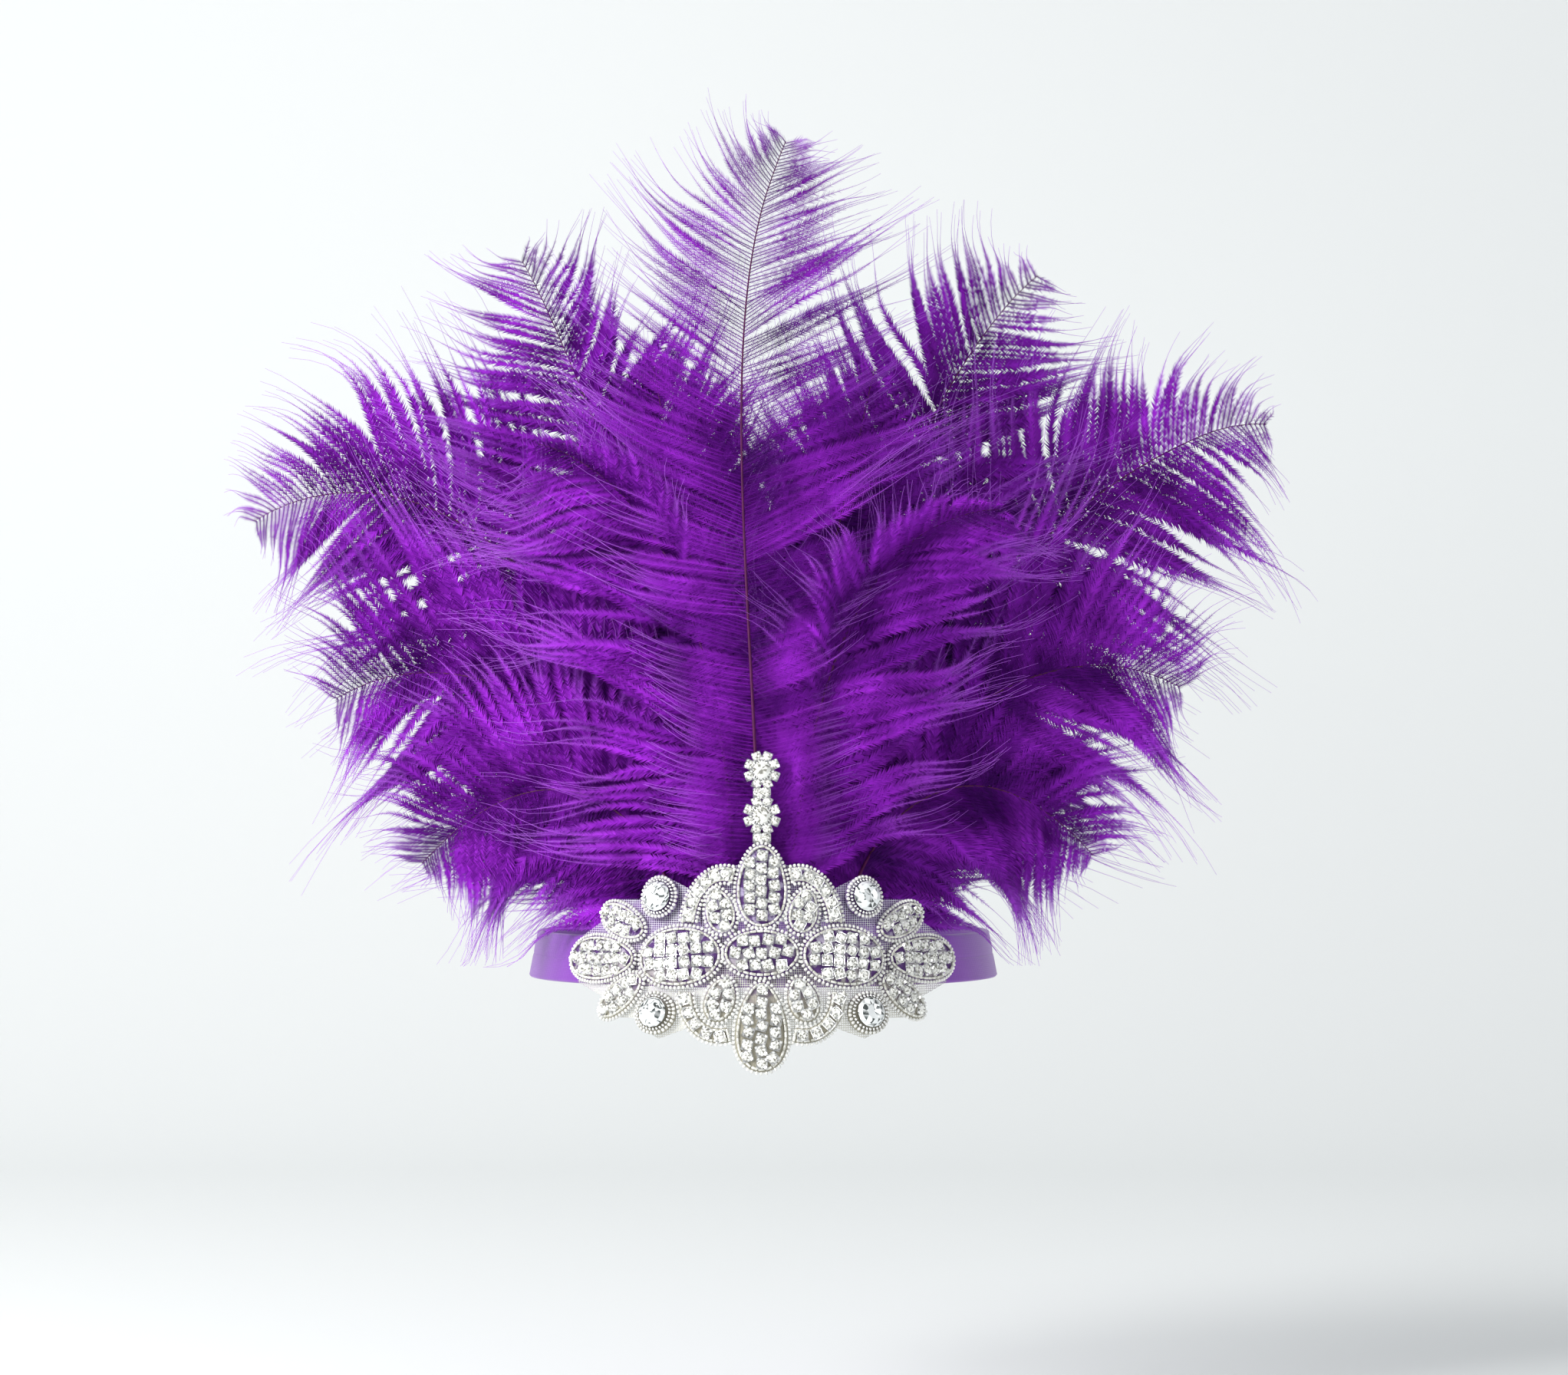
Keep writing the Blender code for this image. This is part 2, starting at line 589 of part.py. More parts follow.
def make_flower_stem():
    """Two stone flowers and two bars, soldered into one strip up the centre plume."""
    bar_height = FLOWER_SPACING - 2 * FLOWER_RADIUS + 4 * STONE_SINK
    low_bar = APPLIQUE_TOP + GAP + bar_height / 2
    low_flower = low_bar + bar_height / 2 + FLOWER_RADIUS - 2 * STONE_SINK
    high_flower = low_flower + FLOWER_SPACING
    high_bar = (low_flower + high_flower) / 2
    top = NET_SEAT + PLATE_THICKNESS
    seat = Matrix.Translation((0, 0, top - STONE_SINK))
    shapes = []
    small = []
    for centre in (low_flower, high_flower):
        ring = [(FLOWER_RADIUS * math.cos(a), centre + FLOWER_RADIUS * math.sin(a))
                for a in ring_angles(12, 0.5)]
        shapes.append(flat_plate(ring, NET_SEAT, PLATE_THICKNESS))
        reach = FLOWER_RADIUS - FLOWER_STONE_SIZE / 2
        small += [(reach * math.cos(a), centre + reach * math.sin(a), a + math.pi / 4)
                  for a in ring_angles(FLOWER_STONES, 0.5)]
    for centre in (low_bar, high_bar):
        corners = [(s * BAR_WIDTH / 2, centre + h * bar_height / 2)
                   for s, h in ((-1, -1), (1, -1), (1, 1), (-1, 1))]
        shapes.append(flat_plate(corners, NET_SEAT, PLATE_THICKNESS))
        small += [(s * BAR_STONE_PITCH / 2, centre, math.pi / 4) for s in (-1, 1)]
    stones = stone_mesh(small, FLOWER_STONE_SIZE / math.sqrt(2), STONE_HEIGHT + STONE_SINK, 4)
    hearts = stone_mesh([(0, low_flower, 0), (0, high_flower, 0)], FLOWER_HEART_RADIUS,
                        STONE_HEIGHT * 1.4, 8)
    stones.transform(seat)
    hearts.transform(seat)
    shapes.append(joining_object("stones", stones))
    shapes.append(joining_object("hearts", hearts))
    place("flower_stem", wrapped(join(shapes[0], shapes[1:])), STONE_SILVER)


make_headband()
make_applique()
make_flower_stem()
for row in PLUMES:
    make_plume(row)
for cutter in list(CUTTERS.objects):
    bpy.data.objects.remove(cutter, do_unlink=True)
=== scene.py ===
# %% [markdown]
# # Showgirl feather headdress
#
# Thirteen ostrich plumes fan out behind a rhinestone applique on a loop of purple elastic.
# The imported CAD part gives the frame. This lesson grows the barbs of the plumes, sets the
# stones and beads, weaves the cloth, and then lights and photographs it all.

import math
from collections import namedtuple

import bmesh
import bpy
import numpy as np
from mathutils import Matrix, Vector


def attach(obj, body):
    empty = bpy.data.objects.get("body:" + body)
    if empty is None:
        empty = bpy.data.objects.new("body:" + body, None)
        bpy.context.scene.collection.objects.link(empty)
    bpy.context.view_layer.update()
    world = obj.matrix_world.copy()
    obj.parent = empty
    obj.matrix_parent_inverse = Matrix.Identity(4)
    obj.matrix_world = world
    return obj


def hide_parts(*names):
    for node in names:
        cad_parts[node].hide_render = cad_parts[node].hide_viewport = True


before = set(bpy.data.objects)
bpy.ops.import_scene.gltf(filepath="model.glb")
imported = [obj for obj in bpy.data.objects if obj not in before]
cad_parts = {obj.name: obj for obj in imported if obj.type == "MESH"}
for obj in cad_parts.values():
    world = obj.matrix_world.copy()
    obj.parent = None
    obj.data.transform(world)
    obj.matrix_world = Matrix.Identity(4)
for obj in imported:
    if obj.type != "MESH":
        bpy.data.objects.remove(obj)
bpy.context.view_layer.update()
print("frame loaded with", len(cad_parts), "nodes")

# %% [markdown]
# ## The same sizes as the CAD part
#
# Every length is in metres. The applique is laid out flat in s (along the band from its
# middle front), h (up the band's slope) and t (out from the band), and then wrapped on.

# %% Sizes of the band and the applique
BAND_HALF_WIDTH = 0.0805
BAND_HALF_DEPTH = 0.098
BAND_HEIGHT = 0.016
BAND_WALL = 0.0015
BAND_SLOPE = 0.19
SLOPE_ANGLE = math.atan(BAND_SLOPE)
BAND_TOP = BAND_HEIGHT / 2

GAP = 0.0003
QUILL_WIDTH = 0.0022
QUILL_THICKNESS = 0.0012
QUILL_PITCH = 0.0042
QUILL_TUCK = 0.0015
QUILL_SEAT = GAP + QUILL_THICKNESS / 2
NET_SEAT = QUILL_SEAT + QUILL_THICKNESS / 2 + GAP
NET_THICKNESS = 0.0010
PLATE_SEAT = NET_SEAT + NET_THICKNESS + GAP
PLATE_THICKNESS = 0.0009
SETTLE_START = 0.030
SETTLE_END = 0.058

PERCENT = 0.150 / 100
BEAD_RIM = 0.0012
STONE_SIZE = 0.0031
STONE_PITCH = 0.0040

# %% Sizes of the fan
FAN_HEIGHT = 0.276
FAN_HALF_WIDTH = 0.176
FAN_CURL = 0.152
FAN_SWEEP = 0.176
CURL_START = 0.060
LEAF_SPACING = 0.0038
LEAF_RAMP_TOP = 0.045

# %% [markdown]
# ## From the flat layout to the headdress
#
# `on_band` wraps a flat point onto the cone of the band. `leaf_point` does the same for the
# plumes, each of which lies on its own leaf of one fan that leans back and curls forward.

# %% Wrap flat points onto the band
def arc_length_table():
    """Arc length along the band's outer edge at mid height, from the middle front."""
    angles = np.linspace(-math.pi, math.pi, 2881)
    speed = np.hypot(BAND_HALF_WIDTH * np.cos(angles), BAND_HALF_DEPTH * np.sin(angles))
    steps = (speed[1:] + speed[:-1]) / 2 * np.diff(angles)
    lengths = np.concatenate([[0], np.cumsum(steps)])
    return angles, lengths - lengths[-1] / 2


ANGLES, LENGTHS = arc_length_table()
BAND_LENGTH = LENGTHS[-1] * 2


def on_band(s, h, t):
    """Points s along the band, h up its slope and t out from its face, one row each."""
    angle = np.interp(s, LENGTHS, ANGLES)
    z = np.asarray(h) * math.cos(SLOPE_ANGLE)
    x = (BAND_HALF_WIDTH - BAND_SLOPE * z) * np.sin(angle)
    y = -(BAND_HALF_DEPTH - BAND_SLOPE * z) * np.cos(angle)
    out_x, out_y = np.sin(angle) / BAND_HALF_WIDTH, -np.cos(angle) / BAND_HALF_DEPTH
    level = np.hypot(out_x, out_y)
    tilt = math.hypot(1, BAND_SLOPE)
    x = x + out_x / level / tilt * t
    y = y + out_y / level / tilt * t
    return np.stack(np.broadcast_arrays(x, y, z + BAND_SLOPE / tilt * np.asarray(t)), axis=-1)


def smooth_step(value, low, high):
    share = np.clip((value - low) / (high - low), 0, 1)
    return share * share * (3 - 2 * share)


def settled(s, t):
    """Past the quills the applique comes down onto the band."""
    return t - (NET_SEAT - GAP) * smooth_step(np.abs(s), SETTLE_START, SETTLE_END)


print("band length", round(BAND_LENGTH * 1000), "mm")


# %% Wrap flat points onto a leaf of the fan
def side_fall(x):
    """How far the fan lies back at x: on the band near the middle, then in a flat wing."""
    reach = QUILL_PITCH * 6 + QUILL_WIDTH
    near = np.minimum(np.abs(x), reach)
    root = np.sqrt(1 - (near / BAND_HALF_WIDTH) ** 2)
    slope = BAND_HALF_DEPTH / BAND_HALF_WIDTH * (near / BAND_HALF_WIDTH) / root
    past = np.abs(x) - near
    return BAND_HALF_DEPTH * (1 - root) + slope * past - FAN_SWEEP * past * past / FAN_HALF_WIDTH


def leaf_point(x, z, leaf, relief=0):
    """Points of one leaf, relief behind it, one row each."""
    curl = FAN_CURL * np.maximum(0, z - CURL_START) ** 2 / FAN_HEIGHT
    front = BAND_HALF_DEPTH + QUILL_SEAT / math.cos(SLOPE_ANGLE)
    back = leaf * LEAF_SPACING * smooth_step(z, BAND_TOP, LEAF_RAMP_TOP)
    y = -front + BAND_SLOPE * z - curl + side_fall(x) + back + relief
    return np.stack(np.broadcast_arrays(x, y, z), axis=-1)


# %% [markdown]
# ## Shader maths in plain expressions
#
# `Wire` wraps a node's output, so that `a * 2 + b` builds the Math nodes by itself. Each
# material below is a few such expressions that end in one Principled shader.

# %% A wrapper for shader sockets
class Wire:
    """An output socket of a shader tree that can be added, multiplied and so on."""

    def __init__(self, tree, socket):
        self.tree = tree
        self.socket = socket

    def node(self, kind, settings=None, **inputs):
        """Any other node, with its settings first and then its socket values."""
        made = self.tree.nodes.new(kind)
        for name, value in (settings or {}).items():
            setattr(made, name, value)
        for name, value in inputs.items():
            self.feed(made.inputs[name.replace("_", " ")], value)
        return made

    def feed(self, socket, value):
        if isinstance(value, Wire):
            self.tree.links.new(value.socket, socket)
        else:
            socket.default_value = value

    def math(self, operation, *values, clamp=False):
        made = self.tree.nodes.new("ShaderNodeMath")
        made.operation = operation
        made.use_clamp = clamp
        for socket, value in zip(made.inputs, values):
            self.feed(socket, value)
        return Wire(self.tree, made.outputs[0])

    def __add__(self, other):
        return self.math("ADD", self, other)

    def __radd__(self, other):
        return self.math("ADD", other, self)

    def __sub__(self, other):
        return self.math("SUBTRACT", self, other)

    def __rsub__(self, other):
        return self.math("SUBTRACT", other, self)

    def __mul__(self, other):
        return self.math("MULTIPLY", self, other)

    def __rmul__(self, other):
        return self.math("MULTIPLY", other, self)

    def sine(self):
        return self.math("SINE", self)

    def fraction(self):
        return self.math("FRACT", self)

    def clamped(self):
        return self.math("ADD", self, 0.0, clamp=True)

    def between(self, low, high):
        """0 below low, 1 above high and smooth between them."""
        made = self.node("ShaderNodeMapRange", {"interpolation_type": "SMOOTHSTEP"},
                         Value=self, From_Min=low, From_Max=high)
        return Wire(self.tree, made.outputs["Result"])

    def colour(self, first, second):
        """A colour from first to second as this value goes from 0 to 1."""
        made = self.tree.nodes.new("ShaderNodeMix")
        made.data_type = "RGBA"
        self.feed(made.inputs[0], self)
        for socket, value in ((made.inputs[6], first), (made.inputs[7], second)):
            self.feed(socket, value if isinstance(value, Wire) else (*value, 1))
        return Wire(self.tree, made.outputs[2])


# %% Start and finish a material
def new_material(name):
    """A material with its Principled shader, its object coordinates and a Wire to grow from."""
    finish = bpy.data.materials.new(name)
    finish.use_nodes = True
    tree = finish.node_tree
    shader = tree.nodes["Principled BSDF"]
    place = tree.nodes.new("ShaderNodeTexCoord")
    return finish, shader, Wire(tree, place.outputs["Object"])


def attribute(wire, name):
    made = wire.node("ShaderNodeAttribute", {"attribute_name": name})
    return Wire(wire.tree, made.outputs["Fac"])


def noise(wire, scale, detail=2.0):
    made = wire.node("ShaderNodeTexNoise", {}, Vector=wire, Scale=scale, Detail=detail)
    return Wire(wire.tree, made.outputs[0])


def bumped(wire, height, strength):
    """Normals bent by a height."""
    made = wire.node("ShaderNodeBump", {}, Height=height, Distance=1.0, Strength=strength)
    return Wire(wire.tree, made.outputs[0])


def set_shader(shader, wire, **inputs):
    for name, value in inputs.items():
        wire.feed(shader.inputs[name.replace("_", " ")], value)


# %% [markdown]
# ## Geometry Nodes trees
#
# `Tree` builds a tree with named inputs. `grown` runs one on a mesh and gives back a plain
# mesh. Three trees serve the whole headdress: one sweeps a tube along each line, one fringes
# each line with barbules, and one sets a small shape on each point.

# %% Objects and mesh attributes
def new_object(name, data):
    """An object in the scene that holds the data."""
    item = bpy.data.objects.new(name, data)
    bpy.context.scene.collection.objects.link(item)
    return item


def mesh_of(name, points, edges=(), faces=()):
    mesh = bpy.data.meshes.new(name)
    mesh.from_pydata(points, edges, faces)
    return mesh


def facing_out(solid, mesh):
    """Turns a bmesh's faces outwards and writes it to the mesh."""
    bmesh.ops.recalc_face_normals(solid, faces=solid.faces)
    solid.to_mesh(mesh)
    solid.free()
    return mesh


def store(mesh, name, values, kind="FLOAT", domain="POINT"):
    """Keeps values on a mesh as an attribute."""
    field = "vector" if kind == "FLOAT_VECTOR" else "value"
    data = np.ascontiguousarray(values, np.float32).ravel()
    mesh.attributes.new(name, kind, domain).data.foreach_set(field, data)


# %% A builder for Geometry Nodes trees
class Tree:
    """A Geometry Nodes tree with named inputs, built one node at a time."""

    def __init__(self, name, inputs):
        self.tree = bpy.data.node_groups.new(name, "GeometryNodeTree")
        face = self.tree.interface
        face.new_socket("Geometry", in_out="INPUT", socket_type="NodeSocketGeometry")
        for label, kind in inputs:
            face.new_socket(label, in_out="INPUT", socket_type=f"NodeSocket{kind}")
        face.new_socket("Geometry", in_out="OUTPUT", socket_type="NodeSocketGeometry")
        self.inputs = self.tree.nodes.new("NodeGroupInput").outputs

    def node(self, kind, settings=None, **inputs):
        """A node with its settings first, then its sockets by name; gives its outputs."""
        made = self.tree.nodes.new(kind)
        for name, value in (settings or {}).items():
            setattr(made, name, value)
        for name, value in inputs.items():
            socket = next(s for s in made.inputs if s.enabled and s.name == name.replace("_", " "))
            if isinstance(value, bpy.types.NodeSocket):
                self.tree.links.new(value, socket)
            else:
                socket.default_value = value
        return made.outputs

    def named(self, name, kind="FLOAT"):
        """An attribute of the geometry."""
        made = self.node("GeometryNodeInputNamedAttribute", {"data_type": kind}, Name=name)
        return made["Attribute"]

    def random(self, low, high, seed):
        made = self.node("FunctionNodeRandomValue", {"data_type": "FLOAT"}, Min=low, Max=high,
                         Seed=seed)
        return next(output for output in made if output.enabled)

    def product(self, first, second):
        made = self.tree.nodes.new("ShaderNodeMath")
        made.operation = "MULTIPLY"
        self.tree.links.new(first, made.inputs[0])
        self.tree.links.new(second, made.inputs[1])
        return made.outputs[0]

    def finish(self, geometry, material):
        """Ends the tree in Realize Instances and Set Material."""
        real = self.node("GeometryNodeRealizeInstances", {}, Geometry=geometry)["Geometry"]
        dressed = self.node("GeometryNodeSetMaterial", {}, Geometry=real, Material=material)
        end = self.tree.nodes.new("NodeGroupOutput")
        self.tree.links.new(dressed["Geometry"], end.inputs["Geometry"])
        return self.tree


def grown(tree, mesh, **values):
    """The plain mesh that a tree makes of a mesh, with the tree's inputs set by identifier."""
    item = new_object("seedling", mesh)
    nodes = item.modifiers.new("nodes", "NODES")
    nodes.node_group = tree
    for socket in tree.interface.items_tree:
        label = socket.name.replace(" ", "_")
        if socket.in_out == "INPUT" and label in values:
            nodes[socket.identifier] = values[label]
    bpy.context.view_layer.update()
    seen = item.evaluated_get(bpy.context.evaluated_depsgraph_get())
    made = bpy.data.meshes.new_from_object(seen)
    bpy.data.objects.remove(item, do_unlink=True)
    return made


# %% The tree that sweeps a tube along each line
def swept_tree():
    tree = Tree("swept strands", (("Sides", "Int"), ("Material", "Material")))
    inputs = tree.inputs
    lines = tree.node("GeometryNodeMeshToCurve", {}, Mesh=inputs["Geometry"])["Curve"]
    ring = tree.node("GeometryNodeCurvePrimitiveCircle", {}, Resolution=inputs["Sides"], Radius=1.0)
    tube = tree.node("GeometryNodeCurveToMesh", {}, Curve=lines, Profile_Curve=ring["Curve"],
                     Scale=tree.named("thick"), Fill_Caps=True)
    return tree.finish(tube["Mesh"], inputs["Material"])


SWEPT = swept_tree()


# %% The tree that fringes each line with barbules
# where barbules would be shorter than this, there are none
BARE_FRINGE = 0.0004


def fringe_tree():
    sizes = (("Shape", "Object"), ("Spacing", "Float"), ("Roll", "Float"), ("Seed", "Int"),
             ("Material", "Material"))
    tree = Tree("fringed strands", sizes)
    inputs = tree.inputs
    lines = tree.node("GeometryNodeMeshToCurve", {}, Mesh=inputs["Geometry"])["Curve"]
    steps = tree.node("GeometryNodeResampleCurve", {"mode": "LENGTH"}, Curve=lines,
                      Length=inputs["Spacing"])["Curve"]
    along = tree.node("GeometryNodeInputTangent")["Tangent"]
    turned = tree.node("FunctionNodeAlignRotationToVector", {"axis": "X"}, Vector=along)["Rotation"]
    facing = tree.node("FunctionNodeAlignRotationToVector", {"axis": "Z", "pivot_axis": "X"},
                       Rotation=turned, Vector=tree.named("facing", "FLOAT_VECTOR"))["Rotation"]
    roll = tree.product(tree.random(-1.0, 1.0, inputs["Seed"]), inputs["Roll"])
    angles = tree.node("ShaderNodeCombineXYZ", {}, X=roll)["Vector"]
    spin = tree.node("FunctionNodeEulerToRotation", {}, Euler=angles)["Rotation"]
    rolled = tree.node("FunctionNodeRotateRotation", {"rotation_space": "LOCAL"},
                       Rotation=facing, Rotate_By=spin)["Rotation"]
    shape = tree.node("GeometryNodeObjectInfo", {}, Object=inputs["Shape"])["Geometry"]
    length = tree.product(tree.named("fringe"), tree.random(0.65, 1.2, inputs["Seed"]))
    long_enough = tree.node("FunctionNodeCompare", {"operation": "GREATER_THAN"},
                            A=tree.named("fringe"), B=BARE_FRINGE)["Result"]
    tufts = tree.node("GeometryNodeInstanceOnPoints", {}, Points=steps, Instance=shape,
                      Rotation=rolled, Scale=length, Selection=long_enough)["Instances"]
    return tree.finish(tufts, inputs["Material"])


FRINGED = fringe_tree()
print("trees built:", SWEPT.name, "and", FRINGED.name)

# %% [markdown]
# ## The plumes
#
# Each row of the table is one plume of the CAD part, and its quill is the same curve. The
# second table says how the barbs fall, on the side of the quill that faces the middle of the
# fan and on the side that faces away from it.

# %% The table of plumes
Plume = namedtuple("Plume", "name seat rise_x rise_z bend_x bend_z tip_x tip_z breadth leaf")
# seat counts quills from the middle one; x is a share of the fan's half width, z of its
# height, breadth (a lock's length) of its half width; leaf 0 is the front one
PLUMES = (
    Plume("plume_centre", 0, 0.000, 0.36, -0.100, 0.74, 0.017, 0.945, 0.28, 0),
    Plume("plume_front_right", 2, 0.050, 0.25, 0.150, 0.47, 0.340, 0.530, 0.27, 1),
    Plume("plume_front_left", -2, -0.045, 0.25, -0.110, 0.50, -0.330, 0.600, 0.27, 2),
    Plume("plume_bottom_left", -6, -0.145, 0.14, -0.330, 0.27, -0.560, 0.170, 0.23, 3),
    Plume("plume_bottom_right", 6, 0.145, 0.14, 0.330, 0.27, 0.540, 0.180, 0.23, 3),
    Plume("plume_lower_left", -5, -0.125, 0.19, -0.420, 0.37, -0.700, 0.350, 0.28, 4),
    Plume("plume_lower_right", 5, 0.125, 0.19, 0.420, 0.37, 0.680, 0.360, 0.28, 4),
    Plume("plume_back_left", -1, -0.035, 0.28, -0.150, 0.50, -0.190, 0.650, 0.26, 5),
    Plume("plume_back_right", 1, 0.035, 0.28, 0.140, 0.50, 0.190, 0.650, 0.26, 6),
    Plume("plume_inner_left", -3, -0.080, 0.27, -0.280, 0.60, -0.420, 0.800, 0.29, 7),
    Plume("plume_inner_right", 3, 0.070, 0.27, 0.240, 0.62, 0.460, 0.800, 0.29, 8),
    Plume("plume_outer_left", -4, -0.125, 0.23, -0.480, 0.62, -0.880, 0.585, 0.30, 9),
    Plume("plume_outer_right", 4, 0.115, 0.23, 0.480, 0.55, 0.880, 0.660, 0.30, 9),
)

Fall = namedtuple("Fall", "count open_low open_high curl_low curl_high droop length clump_low "
                          "clump_high wave")
# count is the number of barbs on the side; open is in degrees from the quill, at the vane's
# foot and at its tip; curl is how many of those degrees a barb turns towards the quill's tip
# along its length; droop is 0 (straight) to 1 (hanging); length is a share of the breadth;
# clump is how far neighbours draw together; wave is in radians
FALLS = {
    "centre": (Fall(200, 88, 54, 18, 8, 0.05, 1.85, 0.05, 0.60, 0.08),
               Fall(200, 88, 58, 20, 26, 0.05, 1.85, 0.05, 0.60, 0.08)),
    "front_left": (Fall(80, 60, 40, -10, 10, 0.45, 0.85, 0.35, 0.50, 0.30),
                   Fall(122, 84, 50, 12, 10, 0.22, 1.85, 0.45, 0.55, 0.36)),
    "front_right": (Fall(80, 60, 40, -10, 10, 0.45, 0.85, 0.35, 0.50, 0.30),
                    Fall(122, 66, 38, 10, 10, 0.12, 1.85, 0.50, 0.60, 0.34)),
    "bottom": (Fall(104, 70, 58, 6, 12, 0.20, 1.95, 0.25, 0.42, 0.26),
               Fall(116, 74, 52, -8, 5, 0.75, 1.75, 0.30, 0.45, 0.28)),
    "lower": (Fall(122, 60, 58, 12, 8, 0.12, 2.15, 0.30, 0.45, 0.24),
              Fall(108, 60, 52, -5, 10, 0.42, 2.00, 0.35, 0.50, 0.26)),
    "back": (Fall(104, 62, 46, 10, 25, 0.05, 1.70, 0.25, 0.45, 0.22),
             Fall(104, 62, 46, 5, 20, 0.05, 1.80, 0.25, 0.45, 0.22)),
    "inner": (Fall(118, 62, 50, 25, 14, 0.05, 1.75, 0.40, 0.60, 0.16),
              Fall(124, 60, 54, 20, 14, 0.08, 1.95, 0.30, 0.50, 0.16)),
    "outer": (Fall(140, 76, 60, 48, 34, 0.20, 1.75, 0.35, 0.45, 0.18),
              Fall(145, 60, 56, -4, 6, 0.45, 1.95, 0.25, 0.45, 0.16)),
}
VANE_FOOTS = {"centre": 0.030, "front": 0.024, "bottom": 0.010, "lower": 0.012, "back": 0.026,
              "inner": 0.020, "outer": 0.016}
BARB_STEPS = 10
# the quill's hair-thin end runs on past the CAD quill, inside the CAD vane's last lock
CENTRE_WHIP = 0.30
SIDE_WHIP = 0.50
WHIP_SAG = 0.25
FRONT_BOW = 0.005
# how far back barbs are kept from the stone trim and from the wings of the applique
STEM_ROOM = 0.0012
BARB_FLOOR = 0.0095
WING_ROOM = 0.014
# the longest barbules of the three front leaves and of the others, and how much shorter they
# get towards a plume's tip
FRONT_FRINGE = 0.0027
REAR_FRINGE = 0.0032
TIP_THINNING = 0.55
CENTRE_TIP_THINNING = 0.10
BARBULE_SPACING = 0.00058
BARBULE_ROLL = 0.6
# past this reach to the side barbs are held back, more and more, to stay within the give
FREE_REACH = 0.172
REACH_GIVE = 0.030
# how far locks and single barbs lift off the leaf, flutter along it and stray at their ends
LOCK_LIFT = 0.0045
BARB_LIFT = 0.0012
FLUTTER = 0.0014
LOOSE_ENDS = 0.0016
# the centre plume is finer above this height
FINE_HEIGHT = 0.17
FINE_SHARE = 0.85
# radii: the quill's from its tip to its foot, and a barb's at its root and what it loses
QUILL_TIP_RADIUS = 0.00013
QUILL_GROWTH = 0.00052
BARB_RADIUS = 0.00018
BARB_TAPER = 0.00013
print(len(PLUMES), "plumes")


# %% The quill's line, seen from the front
def quill_line(plume, count=240):
    """The plume's quill as a cubic curve through its table row."""
    seat_x = on_band(plume.seat * QUILL_PITCH, 0, 0)[0]
    points = np.array((
        (seat_x, -BAND_TOP + QUILL_TUCK),
        (plume.rise_x * FAN_HALF_WIDTH, plume.rise_z * FAN_HEIGHT),
        (plume.bend_x * FAN_HALF_WIDTH, plume.bend_z * FAN_HEIGHT),
        (plume.tip_x * FAN_HALF_WIDTH, plume.tip_z * FAN_HEIGHT),
    ))
    u = np.linspace(0, 1, count)[:, None]
    weights = ((1 - u) ** 3, 3 * u * (1 - u) ** 2, 3 * u * u * (1 - u), u ** 3)
    line = sum(weight * point for weight, point in zip(weights, points))
    ahead = (line[-1] - line[-2]) / np.hypot(*(line[-1] - line[-2]))
    whip = plume.breadth * FAN_HALF_WIDTH * (CENTRE_WHIP if plume.leaf == 0 else SIDE_WHIP)
    more = np.linspace(0, 1, count // 10 + 1)[1:, None] * whip
    sag = np.stack([np.zeros_like(more[:, 0]), -WHIP_SAG * more[:, 0] ** 2 / whip], axis=-1)
    return np.concatenate([line, line[-1] + ahead * more + sag * abs(ahead[0])])


def lengths_along(line):
    """How far along a line each of its points lies."""
    steps = np.hypot(*np.diff(line, axis=0).T)
    return np.concatenate([[0], np.cumsum(steps)])


def vane_stations(plume, shares):
    """Where barbs leave the quill at shares of the vane, and the angle the quill runs at."""
    line = quill_line(plume)
    lengths = lengths_along(line)
    foot = lengths[np.argmax(line[:, 1] >= VANE_FOOTS[plume.name.split("_")[1]])]
    wanted = foot + (lengths[-1] - foot) * shares
    points = np.stack([np.interp(wanted, lengths, line[:, axis]) for axis in (0, 1)], axis=-1)
    slopes = np.gradient(line, axis=0)
    turn = np.unwrap(np.arctan2(slopes[:, 1], slopes[:, 0]))
    return points, np.interp(wanted, lengths, turn)


# %% [markdown]
# A barb leaves the quill at its opening angle, curls, droops as it gets longer, and a slow
# wave runs along it. Neighbours cling together in strands of a few barbs, and a few strands
# lean together in a lock. Each lock lifts off the leaf or falls behind it, which gives the
# vane its depth.

# %% Draw neighbouring barbs together
def groups_of(count, least, most, rng):
    """Splits a row of barbs into groups; gives each barb's group and the groups' middles."""
    sizes = rng.integers(least, most + 1, size=count)
    edges = np.cumsum(sizes)
    group = np.searchsorted(edges, np.arange(count), side="right")
    middles = np.array([int(np.median(np.flatnonzero(group == k))) for k in range(group.max() + 1)])
    return group, middles


def drawn_together(paths, group, middles, amount, start, stop):
    """Moves each barb towards its group's middle barb, from share start of its length on."""
    share = np.linspace(0, 1, paths.shape[1])[None, :, None]
    draw = amount[:, None, None] * smooth_step(share, start, stop)
    return paths * (1 - draw) + paths[middles][group] * draw


